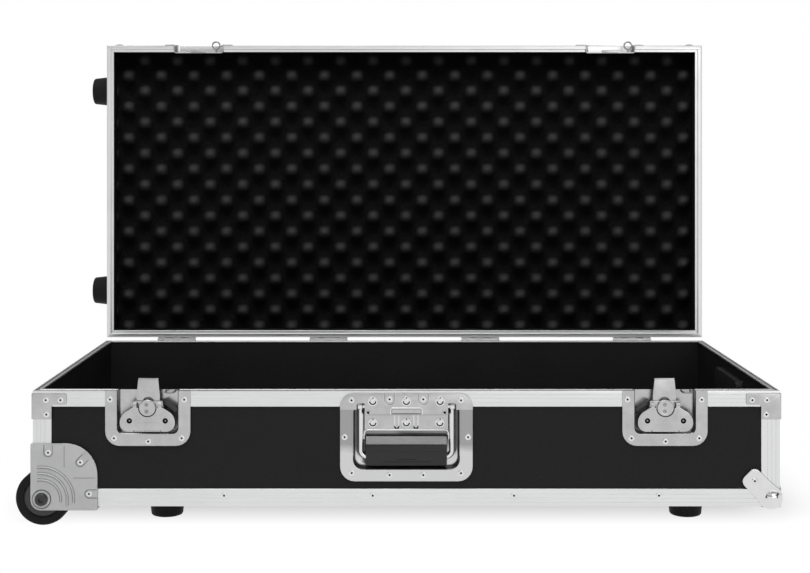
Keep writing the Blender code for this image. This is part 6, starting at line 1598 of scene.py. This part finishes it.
for place_name, place in WHEEL_CORNERS.items():
    bm = turned([
        (0, BOLT_FRONT - 2.5 * MM), (3.5 * MM, BOLT_FRONT - 2.5 * MM), (3.5 * MM, BOLT_FRONT), (6.3 * MM, BOLT_FRONT),
        (7.2 * MM, BOLT_FRONT - 0.9 * MM), (7.2 * MM, BOLT_BACK), (4 * MM, BOLT_BACK), (4 * MM, -31 * MM), (0, -31 * MM),
    ], 36)
    bmesh.ops.delete(bm, geom=[face for face in bm.faces if math.hypot(*face.calc_center_median().xy) < 3.6 * MM
                               and face.calc_center_median().z > BOLT_BACK], context="FACES")
    socket = turned([(0, BOLT_FRONT - 2.5 * MM), (3.5 * MM, BOLT_FRONT - 2.5 * MM), (3.5 * MM, BOLT_FRONT)], 6)
    rim = [edge for edge in bm.edges if edge.is_boundary]
    join(bm, socket)
    hexagon = [edge for edge in bm.edges if edge.is_boundary and edge not in rim]
    bmesh.ops.bridge_loops(bm, edges=rim + hexagon)
    bmesh.ops.transform(bm, matrix=Matrix.Translation((AXLE_X, 0, AXLE_Z)) @ FACE_ON, verts=bm.verts)
    finish_piece(f"wheel_bolt_{place_name}_socket_head", bm, [black_steel], "base",
                 [f"wheel_axle_bolt_{place_name}"], place)
    half = [
        (4.5 * MM, 11.6 * MM), (8 * MM, 11.6 * MM), (8.4 * MM, 11.2 * MM), (8.4 * MM, 10 * MM), (21 * MM, 10 * MM),
        (HUB_RADIUS, 11 * MM), (22.8 * MM, 11.9 * MM), (28.6 * MM, WHEEL_HALF), (30.6 * MM, 11.4 * MM),
        (31.7 * MM, 10 * MM), (WHEEL_RADIUS, 8.2 * MM), (WHEEL_RADIUS, 4.4 * MM), (31.4 * MM, 4 * MM),
        (31.4 * MM, 3.2 * MM), (WHEEL_RADIUS, 2.8 * MM),
    ]
    profile = half + [(radius, -z) for radius, z in reversed(half)] + half[:1]
    bm = turned(profile, 64, hub_or_tyre)
    centre = Matrix.Translation((AXLE_X, WHEEL_Y, AXLE_Z)) @ FACE_ON
    finish_piece(f"wheel_{place_name}_tyre", bm, [rubber, black_steel], f"wheel_{place_name}_body",
                 [f"wheel_{place_name}"], place @ centre)

# %% [markdown]
# ## Rubber feet
# A foot is a turned rubber block with a rounded sole and a recess for its screw. The feet under the
# base are tall enough to stand level with the wheels; the two on the lid's end let the closed case
# stand upright.

# %% Feet
FOOT_RADIUS = 21 * MM


def foot_shape(height):
    """Foot that stands on z = 0, with the screw's recess in its sole."""
    low = FOOT_RADIUS - 2 * MM
    return turned([
        (0, 6 * MM), (3.6 * MM, 6 * MM), (3.9 * MM, 2.5 * MM), (6.2 * MM, 2.2 * MM), (6.8 * MM, 0.4 * MM),
        (7.4 * MM, 0), (low - 3 * MM, 0), (low - 1.2 * MM, 0.7 * MM), (low - 0.2 * MM, 2 * MM), (low, 3.5 * MM),
        (FOOT_RADIUS - 0.2 * MM, height - 3.2 * MM), (FOOT_RADIUS, height - 2.6 * MM),
        (FOOT_RADIUS - 0.1 * MM, height - 0.5 * MM), (FOOT_RADIUS - 0.6 * MM, height), (0, height),
    ], 40)


def standing_place(node, axis):
    """Middle of a node's box at its low end along an axis, and the box's size along that axis."""
    low, high = (Vector(corner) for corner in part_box(node))
    middle = (low + high) / 2
    middle[axis] = low[axis]
    return middle, high[axis] - low[axis]


for row in ("front", "back"):
    for hand in ("left", "right"):
        middle, height = standing_place(f"base_foot_{row}_{hand}", 2)
        finish_piece(f"foot_{row}_{hand}_turned", foot_shape(height), [rubber], "base",
                     [f"base_foot_{row}_{hand}"], Matrix.Translation(middle))
    middle, height = standing_place(f"lid_foot_{row}", 0)
    finish_piece(f"lid_foot_{row}_turned", foot_shape(height), [rubber], "lid", [f"lid_foot_{row}"],
                 Matrix.Translation(middle) @ Matrix.Rotation(QUARTER, 4, "Y"))
